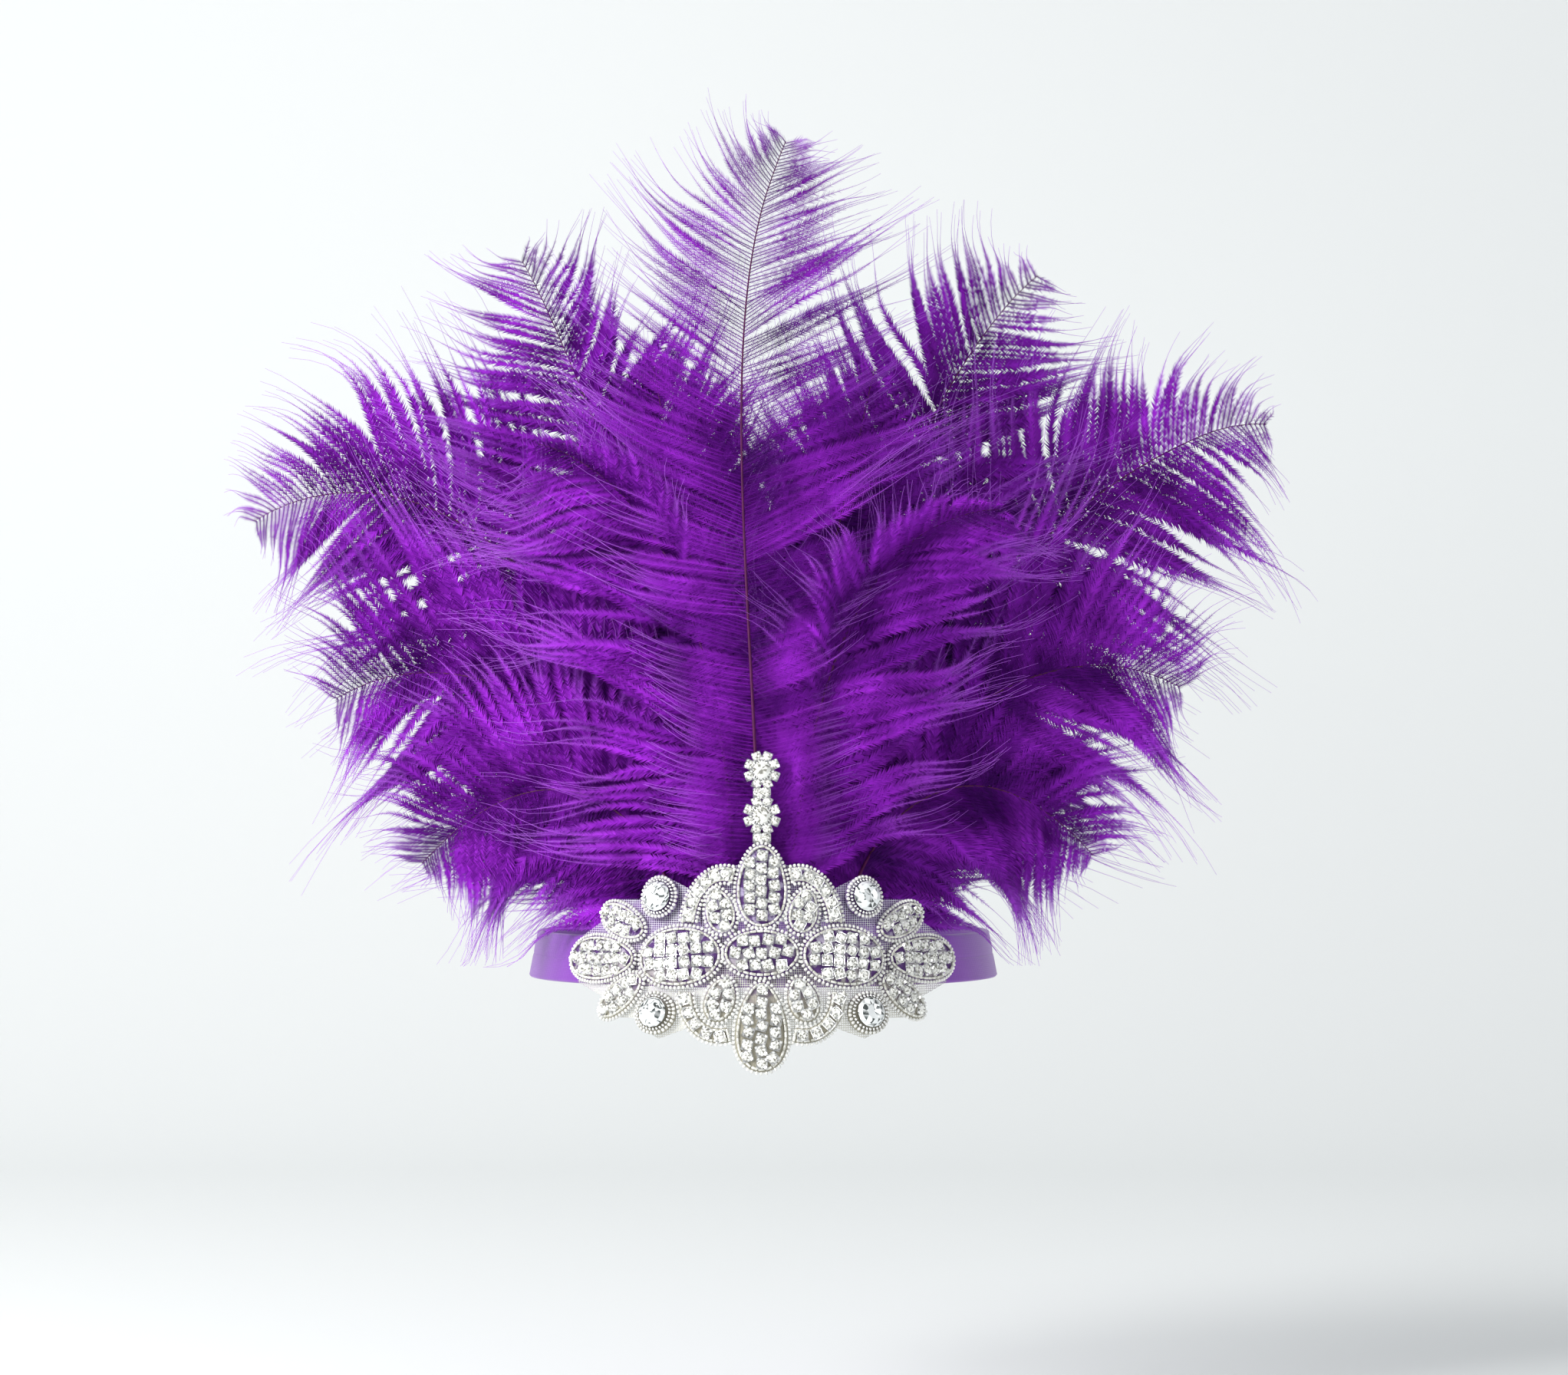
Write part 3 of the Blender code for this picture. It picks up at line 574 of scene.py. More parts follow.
# %% The lines of one side's barbs
def barb_paths(plume, fall, side, rng):
    """Barb centre lines of one side: points (barb, step, xyz), places on the vane, tints."""
    count = fall.count
    shares = np.clip((np.arange(count) + rng.uniform(-0.2, 0.2, count) + 0.5) / count, 0, 1)
    root, turn = vane_stations(plume, shares)
    strand, strand_middles = groups_of(count, 2, 5, rng)
    lock, lock_middles = groups_of(count, 7, 13, rng)
    locks = len(lock_middles)
    mess = np.ones(count)
    if plume.leaf == 0:
        mess = 0.35 + 0.65 * smooth_step(shares, 0.1, 0.5)
    opening = np.radians(fall.open_low + (fall.open_high - fall.open_low) * shares)
    opening = opening + mess * (rng.normal(0, 0.04, count) + rng.normal(0, 0.09, locks)[lock])
    curl = np.radians(fall.curl_low + (fall.curl_high - fall.curl_low) * shares)
    curl = curl * rng.uniform(0.6, 1.4, locks)[lock]
    size = 0.12 + (0.75 + 0.15 * np.sin(math.pi * shares)) * (1 - shares ** 5)
    size = size * plume.breadth * FAN_HALF_WIDTH * fall.length
    if plume.leaf == 0:
        size = size * (0.45 + 0.55 * smooth_step(shares, 0.15, 0.60))
    uneven = rng.uniform(0.72, 1.12, count) * rng.uniform(0.85, 1.12, locks)[lock]
    size = size * (1 - mess * (1 - uneven))
    droop = fall.droop * rng.uniform(0.6, 1.3, locks)[lock]
    phase = rng.uniform(0, 2 * math.pi, locks)[lock] + rng.normal(0, 0.4, count)
    pace = rng.uniform(0.8, 1.6, locks)[lock]
    wave = fall.wave * rng.uniform(0.4, 1.5, count)
    # walk each barb out from the quill, a step at a time
    heading = turn - side * opening
    paths = np.zeros((count, BARB_STEPS + 1, 2))
    paths[:, 0] = root
    for step in range(BARB_STEPS):
        share = (step + 0.5) / BARB_STEPS
        swing = wave * share ** 0.7 * np.sin(2 * math.pi * pace * share + phase)
        way = heading + side * curl * share ** 1.1 + swing
        way = np.stack([np.cos(way), np.sin(way)], axis=-1)
        pull = (droop * share ** 1.3)[:, None]
        way = way * (1 - 0.6 * pull) + np.array((0.0, -1.0)) * pull
        way = way / np.hypot(way[:, 0], way[:, 1])[:, None]
        paths[:, step + 1] = paths[:, step] + way * (size / BARB_STEPS)[:, None]
    # draw neighbours together, then stray at the ends
    clump = fall.clump_low + (fall.clump_high - fall.clump_low) * smooth_step(shares, 0.25, 0.6)
    clump = np.clip(clump * rng.uniform(0.7, 1.2, count), 0, 0.92)
    paths = drawn_together(paths, strand, strand_middles, clump, 0.12, 0.65)
    paths = drawn_together(paths, lock, lock_middles, clump * 0.45, 0.25, 0.95)
    share = np.linspace(0, 1, BARB_STEPS + 1)[None]
    loose = rng.normal(0, LOOSE_ENDS, (count, 2))[:, None] * smooth_step(share, 0.6, 1.1)[..., None]
    paths = paths + loose * mess[:, None, None]
    # keep barbs above the band and within the fan's reach
    lowest = BARB_FLOOR - 0.013 * smooth_step(np.abs(paths[..., 0]), 0.070, 0.086)
    rise = paths[..., 1] - lowest
    paths[..., 1] = lowest + 0.5 * (rise + np.hypot(rise, 0.003))
    over = np.maximum(0, np.abs(paths[..., 0]) - FREE_REACH)
    paths[..., 0] -= np.sign(paths[..., 0]) * (over - REACH_GIVE * np.tanh(over / REACH_GIVE))
    # depth: lift and flutter, then clear the stone trim and the applique's wings
    lift = rng.normal(0, LOCK_LIFT, locks)[lock] + rng.normal(0, BARB_LIFT, count)
    flutter = FLUTTER * np.sin(2 * math.pi * pace[:, None] * share + phase[:, None])
    relief = mess[:, None] * (lift[:, None] * share ** 1.2 + flutter * share)
    low = smooth_step(0.040 - paths[..., 1], 0, 0.02)
    relief = relief * (1 - low) + np.abs(relief) * low
    aside = np.abs(paths[..., 0])
    if "front" in plume.name:
        clear = smooth_step(aside, 0.010, 0.022) * smooth_step(paths[..., 1], 0.050, 0.075)
        relief = relief - clear * FRONT_BOW * (share + np.sin(math.pi * np.minimum(share * 1.3, 1)))
    near_stem = smooth_step(0.012 - aside, 0, 0.004) * smooth_step(0.080 - paths[..., 1], 0, 0.01)
    relief = relief * (1 - near_stem) + (np.abs(relief) + STEM_ROOM) * near_stem
    behind_wing = smooth_step(aside, 0.028, 0.044) * smooth_step(0.036 - paths[..., 1], 0, 0.018)
    relief = relief + WING_ROOM * behind_wing
    # a random tone for each lock and barb: partly the plume's own uneven colour, partly painted
    # shade, as the wide spread makes whole locks darker for depth
    tints = np.clip(rng.normal(0.5, 0.20, locks)[lock] + rng.normal(0, 0.14, count), 0, 1)
    return leaf_point(paths[..., 0], paths[..., 1], plume.leaf, relief), shares, tints


def barb_lines(plume, rng):
    """Both sides of a plume together."""
    _, family, *label = plume.name.split("_")
    facing_middle = -1 if label == ["right"] else 1
    towards, away = FALLS.get(family) or FALLS[f"{family}_{label[0]}"]
    made = [barb_paths(plume, fall, side, rng)
            for side, fall in ((facing_middle, towards), (-facing_middle, away))]
    return tuple(np.concatenate(parts) for parts in zip(*made))


# %% Turn lines into a mesh of edges with the attributes that the trees read
def line_mesh(name, lines, radius, fringe, facing, tint):
    """An edge mesh of equal-length lines; the other values are one for each point."""
    count, steps = lines.shape[:2]
    index = np.arange(count * steps).reshape(count, steps)
    edges = np.stack([index[:, :-1], index[:, 1:]], axis=-1).reshape(-1, 2)
    mesh = mesh_of(name, lines.reshape(-1, 3).tolist(), edges.tolist())
    share = np.broadcast_to(np.linspace(0, 1, steps), (count, steps))
    for label, values in (("thick", radius), ("fringe", fringe), ("tint", tint), ("share", share)):
        store(mesh, label, np.broadcast_to(values, (count, steps)))
    store(mesh, "facing", np.broadcast_to(facing, (count, steps, 3)), "FLOAT_VECTOR")
    return mesh


# %% The barbule that the fringe repeats
def barbule_shape(width):
    """Two slim triangles, one on each side of a barb that runs along X, one metre long."""
    points, faces = [], []
    for side in (-1, 1):
        first = len(points)
        points += [(-width, 0, 0), (width, 0, 0), (0.85, side * 0.85, 0.15)]
        faces.append((first, first + 1, first + 2)[::side])
    mesh = mesh_of("barbules", points, faces=faces)
    store(mesh, "reach", (0, 0, 1, 0, 0, 1))
    return new_object("barbules", mesh)


BARBULE_WIDTHS = {"centre": 0.09, "front": 0.17, "bottom": 0.17, "lower": 0.17, "back": 0.20,
                  "inner": 0.17, "outer": 0.17}
BARBULES = {family: barbule_shape(width) for family, width in BARBULE_WIDTHS.items()}


# %% The feather's colour, with painted light and shade
def plume_material():
    finish, shader, place = new_material("plume_purple")
    tint = attribute(place, "tint")
    share = attribute(place, "share")
    reach = attribute(place, "reach")
    patches = noise(place, 60.0, 3.0)
    # a shaded and a lit purple, each in the lock's random tone: painted shade and painted light
    dark = tint.colour((0.030, 0.0005, 0.075), (0.09, 0.002, 0.19))
    lit_purple = tint.colour((0.22, 0.010, 0.44), (0.44, 0.032, 0.78))
    # painted shade: barbs darker near the quill, where they crowd, and in noise patches that stand
    # for depth; barbules also darker towards their ends
    painted_shading = 0.22 + 0.40 * share.between(0.0, 0.4) - 0.25 * reach + (patches - 0.5) * 1.5
    feather = painted_shading.clamped().colour(dark, lit_purple)
    # painted light: the outer part of each barb paler, where the lamps light the thin ends and the
    # white backdrop shows through
    painted_lit_tips = share.between(0.45, 1.0) * 0.6
    set_shader(shader, place, Base_Color=painted_lit_tips.colour(feather, (0.54, 0.19, 0.86)),
               Roughness=0.55, Specular_IOR_Level=0.06, Sheen_Weight=0.02,
               Sheen_Roughness=0.4, Sheen_Tint=(0.9, 0.6, 1.0, 1))
    return finish


def quill_material():
    finish, shader, place = new_material("quill_burgundy")
    streak = noise(place, 400.0)
    set_shader(shader, place, Base_Color=streak.colour((0.035, 0.002, 0.030), (0.11, 0.008, 0.085)),
               Roughness=0.45, Specular_IOR_Level=0.2)
    return finish


PLUME_FINISH = plume_material()
QUILL_FINISH = quill_material()


# %% Grow every plume
def joined(name, meshes):
    """One object at the origin made of several meshes, which keep their materials."""
    items = [new_object(name, mesh) for mesh in meshes]
    if len(items) > 1:
        with bpy.context.temp_override(active_object=items[0], selected_editable_objects=items):
            bpy.ops.object.join()
    items[0].name = name
    return items[0]


def dressed(name, meshes, node, slot):
    """One finished piece that stands for a CAD node."""
    piece = joined(name, meshes)
    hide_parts(node)
    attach(piece, "root")
    return piece


def triangles_of(piece):
    return sum(len(face.vertices) - 2 for face in piece.data.polygons)


def quill_mesh(plume):
    """The quill's own tube, which tapers from its foot to a hair at the tip."""
    line = quill_line(plume, 48)
    points = leaf_point(line[:, 0], line[:, 1], plume.leaf)
    share = np.linspace(0, 1, len(line))
    radius = QUILL_GROWTH * (1 - share) ** 0.9 + QUILL_TIP_RADIUS
    lines = line_mesh("quill", points[None], radius, 0, (0, -1, 0), 0.5)
    return grown(SWEPT, lines, Sides=8, Material=QUILL_FINISH)


def make_plume(plume, seed):
    """One finished plume: the shafts and barbules of its barbs, and its quill."""
    rng = np.random.default_rng(seed)
    lines, places, tints = barb_lines(plume, rng)
    share = np.linspace(0, 1, BARB_STEPS + 1)
    fine = np.where(lines[:, :1, 2] > FINE_HEIGHT, FINE_SHARE, 1.0) if plume.leaf == 0 else 1.0
    radius = (BARB_RADIUS - BARB_TAPER * share) * fine
    root = 0.5 if plume.leaf == 0 else 0.85
    longest = REAR_FRINGE if plume.leaf > 2 else FRONT_FRINGE
    fringe = longest * (root + (1 - root) * smooth_step(share, 0, 0.3))
    fringe = fringe * (1 - 0.95 * smooth_step(share, 0.34, 0.88))
    thinning = CENTRE_TIP_THINNING if plume.leaf == 0 else TIP_THINNING
    fringe = fringe * fine * (1 - thinning * smooth_step(places, 0.70, 1.0)[:, None])
    facing = (0.0, -1.0, 0.25)
    mesh = line_mesh("barbs", lines, radius, fringe, facing, tints[:, None])
    shafts = grown(SWEPT, mesh.copy(), Sides=3, Material=PLUME_FINISH)
    barbule = BARBULES[plume.name.split("_")[1]]
    tufts = grown(FRINGED, mesh, Shape=barbule, Spacing=BARBULE_SPACING, Roll=BARBULE_ROLL,
                  Seed=seed, Material=PLUME_FINISH)
    return dressed(plume.name + "_barbs", [shafts, tufts, quill_mesh(plume)], plume.name, "plume")


FIRST_SEED = 40
total = 0
for number, plume in enumerate(PLUMES):
    triangles = triangles_of(make_plume(plume, FIRST_SEED + number))
    total += triangles
    print(plume.name, triangles, "triangles")
for item in BARBULES.values():
    bpy.data.objects.remove(item, do_unlink=True)
print("plumes in all", total, "triangles")

# %% [markdown]
# ## The applique
#
# Every stone field is a row of one of these tables, in percent of the applique's width. A
# field is a backing plate, rows of clear stones in four-pronged silver cups, a line of bugle
# beads just inside its edge, and a lower line of round seed beads just outside it.

# %% The tables of stone fields
Petal = namedtuple("Petal", "name s h half_length half_width angle taper")
MIDDLE_PETALS = (
    Petal("petal_top", 0, 16.4, 9.2, 5.6, 90, -0.12),
    Petal("oval_centre", 0, 1.7, 7.9, 5.3, 0, 0),
    Petal("petal_bottom", 0, -14.4, 9.8, 5.1, -90, 0.20),
)
SIDE_PETALS = (
    Petal("oval", 17.7, 0.8, 9.4, 6.6, -5, 0),
    Petal("wing_upper", 33.4, 8.5, 7.3, 3.5, 21, 0.05),
    Petal("wing_middle", 39.1, 0.1, 10.6, 5.0, 0, 0.12),
    Petal("wing_lower", 31.5, -8.0, 6.9, 3.5, -39, 0.05),
    Petal("drop_upper", 9.0, 10.9, 5.1, 3.3, 76, -0.15),
    Petal("drop_lower", 8.3, -8.5, 5.0, 3.2, -76, 0.10),
)
Scroll = namedtuple("Scroll", "name s h outer_s outer_h inner_s inner_h start stop")
SCROLLS = (
    Scroll("scroll_upper", 8.3, 8.0, 9.3, 12.7, 6.0, 9.3, 4, 104),
    Scroll("scroll_lower", 8.3, -6.7, 9.0, 11.3, 5.8, 8.1, -4, -104),
)
Crystal = namedtuple("Crystal", "name s h")
CRYSTALS = (Crystal("crystal_upper", 23.5, 13.9), Crystal("crystal_lower", 22.2, -11.6))
SIDES = ((-1, "left"), (1, "right"))

BEAD_SIZE = 0.00135
BUGLE_LENGTH = 0.0020
CUP_SIZE = 0.0039
# how far the lines of beads lie inside a field's edge; less than nothing is outside
PETAL_BUGLE_INSET = 0.0008
SCROLL_BUGLE_INSET = 0.0007
SEED_INSET = -0.0004
# how high the cups, stones and seed beads stand on what carries them
CUP_LIFT = 0.0003
STONE_LIFT = 0.0007
SEED_LIFT = 0.0006
NUDGE = 1e-4


# %% Small shapes, one unit in radius, that stand up along Z
def shape_object(name, shape, smooth=False):
    """An object made from a bmesh, for the trees to copy; each face has a random value of its own,
    which picks its painted glint in the stone finishes.
    """
    mesh = facing_out(shape, bpy.data.meshes.new(name))
    # a random value for each face, which picks its painted glint in the stone finishes
    glint_paints = np.random.default_rng(3).uniform(0, 1, len(mesh.polygons))
    store(mesh, "spark", glint_paints, domain="FACE")
    if smooth:
        mesh.shade_smooth()
    else:
        mesh.shade_flat()
    item = new_object(name, mesh)
    SHAPES.append(item)
    return item


def cut_stone(name, sides, rings):
    """A faceted stone: the hull of rings (radius, height), each turned half a facet on."""
    shape = bmesh.new()
    verts = []
    for row, (radius, height) in enumerate(rings):
        for i in range(sides if radius else 1):
            angle = 2 * math.pi * (i + row / 2) / sides
            point = (radius * math.cos(angle), radius * math.sin(angle), height)
            verts.append(shape.verts.new(point))
    bmesh.ops.convex_hull(shape, input=verts)
    top = [face for face in shape.faces if face.normal.z > 0.99]
    bmesh.ops.dissolve_faces(shape, faces=top)
    table = max(shape.faces, key=lambda face: face.calc_center_median().z)
    star = bmesh.ops.poke(shape, faces=[table])["verts"][0]
    star.co.z -= 0.05
    return shape_object(name, shape)


def block(shape, size, place, turn=0, lean=0):
    """Adds a box to the shape, leaned over and then turned round the middle."""
    where = (Matrix.Rotation(turn, 4, "Z") @ Matrix.Translation(place)
             @ Matrix.Rotation(lean, 4, "Y") @ Matrix.Diagonal((*size, 1)))
    bmesh.ops.create_cube(shape, size=1, matrix=where)


def prong_cup():
    """A square cup with a prong at each corner."""
    shape = bmesh.new()
    for quarter in range(4):
        turn = quarter * math.pi / 2
        block(shape, (0.14, 1.7, 0.5), (0.88, 0, 0.0), turn)
        block(shape, (0.34, 0.42, 0.75), (1.02, 0, 0.22), turn + math.pi / 4, -0.35)
    return shape_object("prong_cup", shape)


def bead(name, sides, rings):
    """A turned bead whose hole runs along X."""
    shape = bmesh.new()
    verts = []
    for along, radius in rings:
        for i in range(sides if radius else 1):
            angle = 2 * math.pi * i / sides
            point = (along, radius * math.cos(angle), radius * math.sin(angle))
            verts.append(shape.verts.new(point))
    bmesh.ops.convex_hull(shape, input=verts)
    return shape_object(name, shape, smooth=True)


SHAPES = []
STONE = cut_stone("stone", 8, ((0.9, 0), (0.55, 0.42), (0, -0.5)))
CUP = prong_cup()
SEED_BEAD = bead("seed_bead", 8, ((-0.75, 0.45), (-0.45, 0.9), (0, 1.0), (0.45, 0.9), (0.75, 0.45)))
BUGLE = bead("bugle", 6, ((-1.0, 0.34), (-0.9, 0.45), (0.9, 0.45), (1.0, 0.34)))
CRYSTAL = cut_stone("crystal", 12, ((0.95, 0), (1, 0.10), (0.82, 0.34), (0.50, 0.50)))
HEART = cut_stone("heart", 10, ((0.95, 0), (1, 0.15), (0.60, 0.5)))
print("shapes made:", ", ".join(item.name for item in SHAPES))


# %% The tree that sets a shape on each point
def set_tree():
    tree = Tree("set on points", (("Shape", "Object"), ("Material", "Material")))
    inputs = tree.inputs
    shape = tree.node("GeometryNodeObjectInfo", {}, Object=inputs["Shape"])["Geometry"]
    turn = tree.node("FunctionNodeEulerToRotation", {},
                     Euler=tree.named("turn", "FLOAT_VECTOR"))["Rotation"]
    many = tree.node("GeometryNodeInstanceOnPoints", {}, Points=inputs["Geometry"],
                     Instance=shape, Rotation=turn, Scale=tree.named("size"))["Instances"]
    return tree.finish(many, inputs["Material"])


SET = set_tree()


def set_on(shape, finish, places, t, size, rng=None, tilt=0.0):
    """The mesh of a shape set at each (s, h, turn), t out from the band and facing out."""
    s, h, turn = (np.array(column, float) for column in zip(*places))
    out_by = settled(s, t)
    points = on_band(s, h, out_by)
    right = on_band(s + NUDGE, h, out_by) - on_band(s - NUDGE, h, out_by)
    up = on_band(s, h + NUDGE, out_by) - on_band(s, h - NUDGE, out_by)
    turns = []
    for i, angle in enumerate(turn):
        x_axis, y_axis = Vector(right[i]).normalized(), Vector(up[i]).normalized()
        z_axis = x_axis.cross(y_axis).normalized()
        stand = Matrix((x_axis, z_axis.cross(x_axis), z_axis)).transposed()
        lean = Matrix.Identity(3)
        if tilt:
            lean = (Matrix.Rotation(rng.normal(0, tilt), 3, "X")
                    @ Matrix.Rotation(rng.normal(0, tilt), 3, "Y"))
        turns.append((stand @ lean @ Matrix.Rotation(angle, 3, "Z")).to_euler())
    mesh = mesh_of("places", points.tolist())
    store(mesh, "turn", turns, "FLOAT_VECTOR")
    store(mesh, "size", np.full(len(points), size))
    return grown(SET, mesh, Shape=shape, Material=finish)


# %% Finishes of metal, glass and net
def silver_material():
    finish, shader, place = new_material("cup_silver")
    set_shader(shader, place, Base_Color=(0.90, 0.90, 0.89, 1), Metallic=1.0,
               Roughness=0.12 + noise(place, 900.0) * 0.16)
    return finish


def stone_material(name, dark, bright):
    """Foil-backed glass: each facet's reflection of the room is painted into its base colour, as a
    painted glint from dark to bright that differs from facet to facet.
    """
    finish, shader, place = new_material(name)
    glint = (attribute(place, "spark") + noise(place, 150.0, 0.0) * 4.0).fraction()
    set_shader(shader, place, Base_Color=glint.between(0.08, 0.45).colour(dark, bright),
               Metallic=0.25, Roughness=0.08)
    return finish


def bead_material(name, dark, bright):
    """Clear glass beads with a silver lining."""
    finish, shader, place = new_material(name)
    mottle = noise(place, 700.0, 1.0).between(0.3, 0.7)
    set_shader(shader, place, Base_Color=mottle.colour(dark, bright), Metallic=0.15,
               Roughness=0.16, Coat_Weight=0.5, Coat_Roughness=0.05)
    return finish


def net_material(name, low, high, behind, open_share):
    """Cloth from low to high up the headdress, with what is behind it showing in places."""
    finish, shader, place = new_material(name)
    parts = place.node("ShaderNodeSeparateXYZ", {}, Vector=place)
    x, z = Wire(place.tree, parts.outputs["X"]), Wire(place.tree, parts.outputs["Z"])
    # from the low colour at the bottom to the high one at the top: the darker olive low down is
    # partly painted shadow and partly the forehead behind showing through
    shade = z.between(-0.020, 0.020).colour(low, high)
    patches = z.between(-0.016, -0.004) * noise(place, 330.0).between(0.40, 0.52)
    threads = ((x + z) * 4300.0).sine() * ((x - z) * 4300.0).sine()
    normal = bumped(place, threads * 0.0001, 0.6)
    set_shader(shader, place, Base_Color=(patches * open_share).colour(shade, behind),
               Roughness=0.85, Normal=normal)
    if open_share < 0.5:
        set_shader(shader, place, Alpha=threads.between(-0.6, 0.3) * 0.75)
    return finish


SILVER = silver_material()
# painted reflections: the dark and the bright colours of the facets' painted glints
STONE_FINISH = stone_material("stone_clear", (0.25, 0.245, 0.21), (0.99, 0.99, 0.94))
CRYSTAL_FINISH = stone_material("crystal_clear", (0.06, 0.07, 0.07), (0.94, 0.97, 0.97))
BEAD_FINISH = bead_material("bead_clear", (0.70, 0.70, 0.66), (0.96, 0.96, 0.93))
LINE_FINISH = bead_material("bead_silver_lined", (0.52, 0.51, 0.45), (0.90, 0.90, 0.84))
PLATE_FINISH = net_material("backing_cloth", (0.34, 0.32, 0.25), (0.40, 0.34, 0.52),
                            (0.085, 0.03, 0.16), 1.0)
NET_FINISH = net_material("net_pale", (0.74, 0.73, 0.66), (0.66, 0.62, 0.76),
                          (0.3, 0.12, 0.5), 0.3)


# %% Outlines in the flat layout
def on_petal(petal, side, u, v):
    """Where a point u along the petal and v across it lies in the flat layout."""
    turn = math.radians(petal.angle)
    s = petal.s * PERCENT + u * math.cos(turn) - v * math.sin(turn)
    h = petal.h * PERCENT + u * math.sin(turn) + v * math.cos(turn)
    return side * s, h


def petal_line(petal, side, inset, count=96):
    """A petal's outline, drawn in by inset, as rows of (s, h)."""
    angle = np.linspace(0, 2 * math.pi, count, endpoint=False)
    u = (petal.half_length * PERCENT - inset) * np.cos(angle)
    v = (petal.half_width * PERCENT - inset) * np.sin(angle) * (1 + petal.taper * np.cos(angle))
    return np.stack(on_petal(petal, side, u, v), axis=-1)


def even_places(line, pitch, closed=True):
    """Evenly spaced (s, h, direction) along a line of (s, h)."""
    line = np.concatenate([line, line[:1]]) if closed else line
    lengths = lengths_along(line)
    count = max(2, round(lengths[-1] / pitch))
    wanted = np.linspace(0, lengths[-1], count, endpoint=False) + (0 if closed else pitch / 2)
    s, h = (np.interp(wanted, lengths, line[:, axis]) for axis in (0, 1))
    ahead_s, ahead_h = (np.interp(wanted + NUDGE, lengths, line[:, axis]) for axis in (0, 1))
    return list(zip(s, h, np.arctan2(ahead_h - h, ahead_s - s)))


def petal_stones(petal, side):
    """Rows of stones along the petal, wherever one fits inside the bead rim."""
    margin = BEAD_RIM + STONE_SIZE * 0.4
    length = petal.half_length * PERCENT - margin
    width = petal.half_width * PERCENT - margin
    rows = int(2 * width / STONE_PITCH) + 1
    turn = math.radians(petal.angle)
    places = []
    for row in range(rows):
        v = (row - (rows - 1) / 2) * STONE_PITCH
        reach = length * math.sqrt(max(0, 1 - (v / max(width, abs(v))) ** 2))
        count = int(2 * reach / STONE_PITCH) + 1
        for i in range(count):
            u = (i - (count - 1) / 2) * STONE_PITCH
            places.append((*on_petal(petal, side, u, v), side * turn))
    edge = even_places(petal_line(petal, side, margin), STONE_PITCH * 0.25)
    for s, h, turn in edge:
        if min(math.hypot(s - at_s, h - at_h) for at_s, at_h, _ in places) > STONE_PITCH * 0.82:
            places.append((s, h, turn))
    return places


def scroll_arc(scroll, side, share, count):
    """Points of a scroll's band: share 0 is its inner edge and 1 its outer edge."""
    reach_s = (scroll.inner_s + (scroll.outer_s - scroll.inner_s) * share) * PERCENT
    reach_h = (scroll.inner_h + (scroll.outer_h - scroll.inner_h) * share) * PERCENT
    angle = np.radians(np.linspace(scroll.start, scroll.stop, count))
    return np.stack([side * (scroll.s * PERCENT + reach_s * np.cos(angle)),
                     scroll.h * PERCENT + reach_h * np.sin(angle)], axis=-1)


def scroll_line(scroll, side, inset):
    """A scroll's outline, drawn in by inset on its long edges."""
    width = (scroll.outer_h - scroll.inner_h) * PERCENT
    share = inset / width
    return np.concatenate([scroll_arc(scroll, side, 1 - share, 60),
                           scroll_arc(scroll, side, share, 48)[::-1]])


# %% Plates, wrapped onto the band
def plate_mesh(rows, seat, finish, closed=True, thickness=PLATE_THICKNESS):
    """A plate from rows of (s, h) points, each row as long as the next, wrapped on."""
    rows = np.array(rows)
    count, steps = rows.shape[:2]
    points, faces = [], []
    for t in (seat + thickness, seat):
        points.append(on_band(rows[..., 0], rows[..., 1], settled(rows[..., 0], t)).reshape(-1, 3))
    index = np.arange(2 * count * steps).reshape(2, count, steps)
    last = steps if closed else steps - 1
    for i in range(count - 1):
        for j in range(last):
            k = (j + 1) % steps
            top = (index[0, i, j], index[0, i, k], index[0, i + 1, k], index[0, i + 1, j])
            faces += [top, tuple(reversed([v + count * steps for v in top]))]
    edges = [index[:, -1]] if closed else [index[:, -1], index[:, 0, ::-1]]
    for top, low in edges:
        for j in range(last):
            k = (j + 1) % steps
            faces.append((top[j], top[k], low[k], low[j]))
    if not closed:
        for j in (0, steps - 1):
            for i in range(count - 1):
                faces.append((index[0, i, j], index[0, i + 1, j], index[1, i + 1, j],
                              index[1, i, j]))
    solid = bmesh.new()
    verts = [solid.verts.new(point) for point in np.concatenate(points)]
    for face in faces:
        solid.faces.new([verts[v] for v in face])
    bmesh.ops.remove_doubles(solid, verts=solid.verts, dist=1e-6)
    mesh = facing_out(solid, bpy.data.meshes.new("plate"))
    mesh.shade_smooth()
    mesh.materials.append(finish)
    return mesh


def filled_rows(line, middle, rings=4):
    """Rows of points from a tiny ring round the middle out to the line."""
    return [np.array(middle) + (line - np.array(middle)) * max(share, 0.02)
            for share in np.linspace(0, 1, rings + 1)]


# %% Set every stone field
def shaken(places, shift, turn, rng):
    """The same places, each a little off, as if set by hand."""
    return [(s + rng.normal(0, shift), h + rng.normal(0, shift), angle + rng.normal(0, turn))
            for s, h, angle in places]


def field_meshes(stones, inner, outer, rng):
    """The stones in their cups and the two lines of beads round them."""
    stones = shaken(stones, 0.00016, 0.22, rng)
    top = PLATE_SEAT + PLATE_THICKNESS
    return [
        set_on(CUP, SILVER, stones, top + CUP_LIFT, CUP_SIZE / 2, rng, 0.06),
        set_on(STONE, STONE_FINISH, stones, top + STONE_LIFT, CUP_SIZE / 2, rng, 0.10),
        set_on(BUGLE, LINE_FINISH, even_places(inner, BUGLE_LENGTH * 1.06), top + CUP_LIFT,
               BUGLE_LENGTH / 2, rng, 0.05),
        set_on(SEED_BEAD, BEAD_FINISH, even_places(outer, BEAD_SIZE * 1.04),
               PLATE_SEAT + SEED_LIFT, BEAD_SIZE / 2, rng, 0.15),
    ]


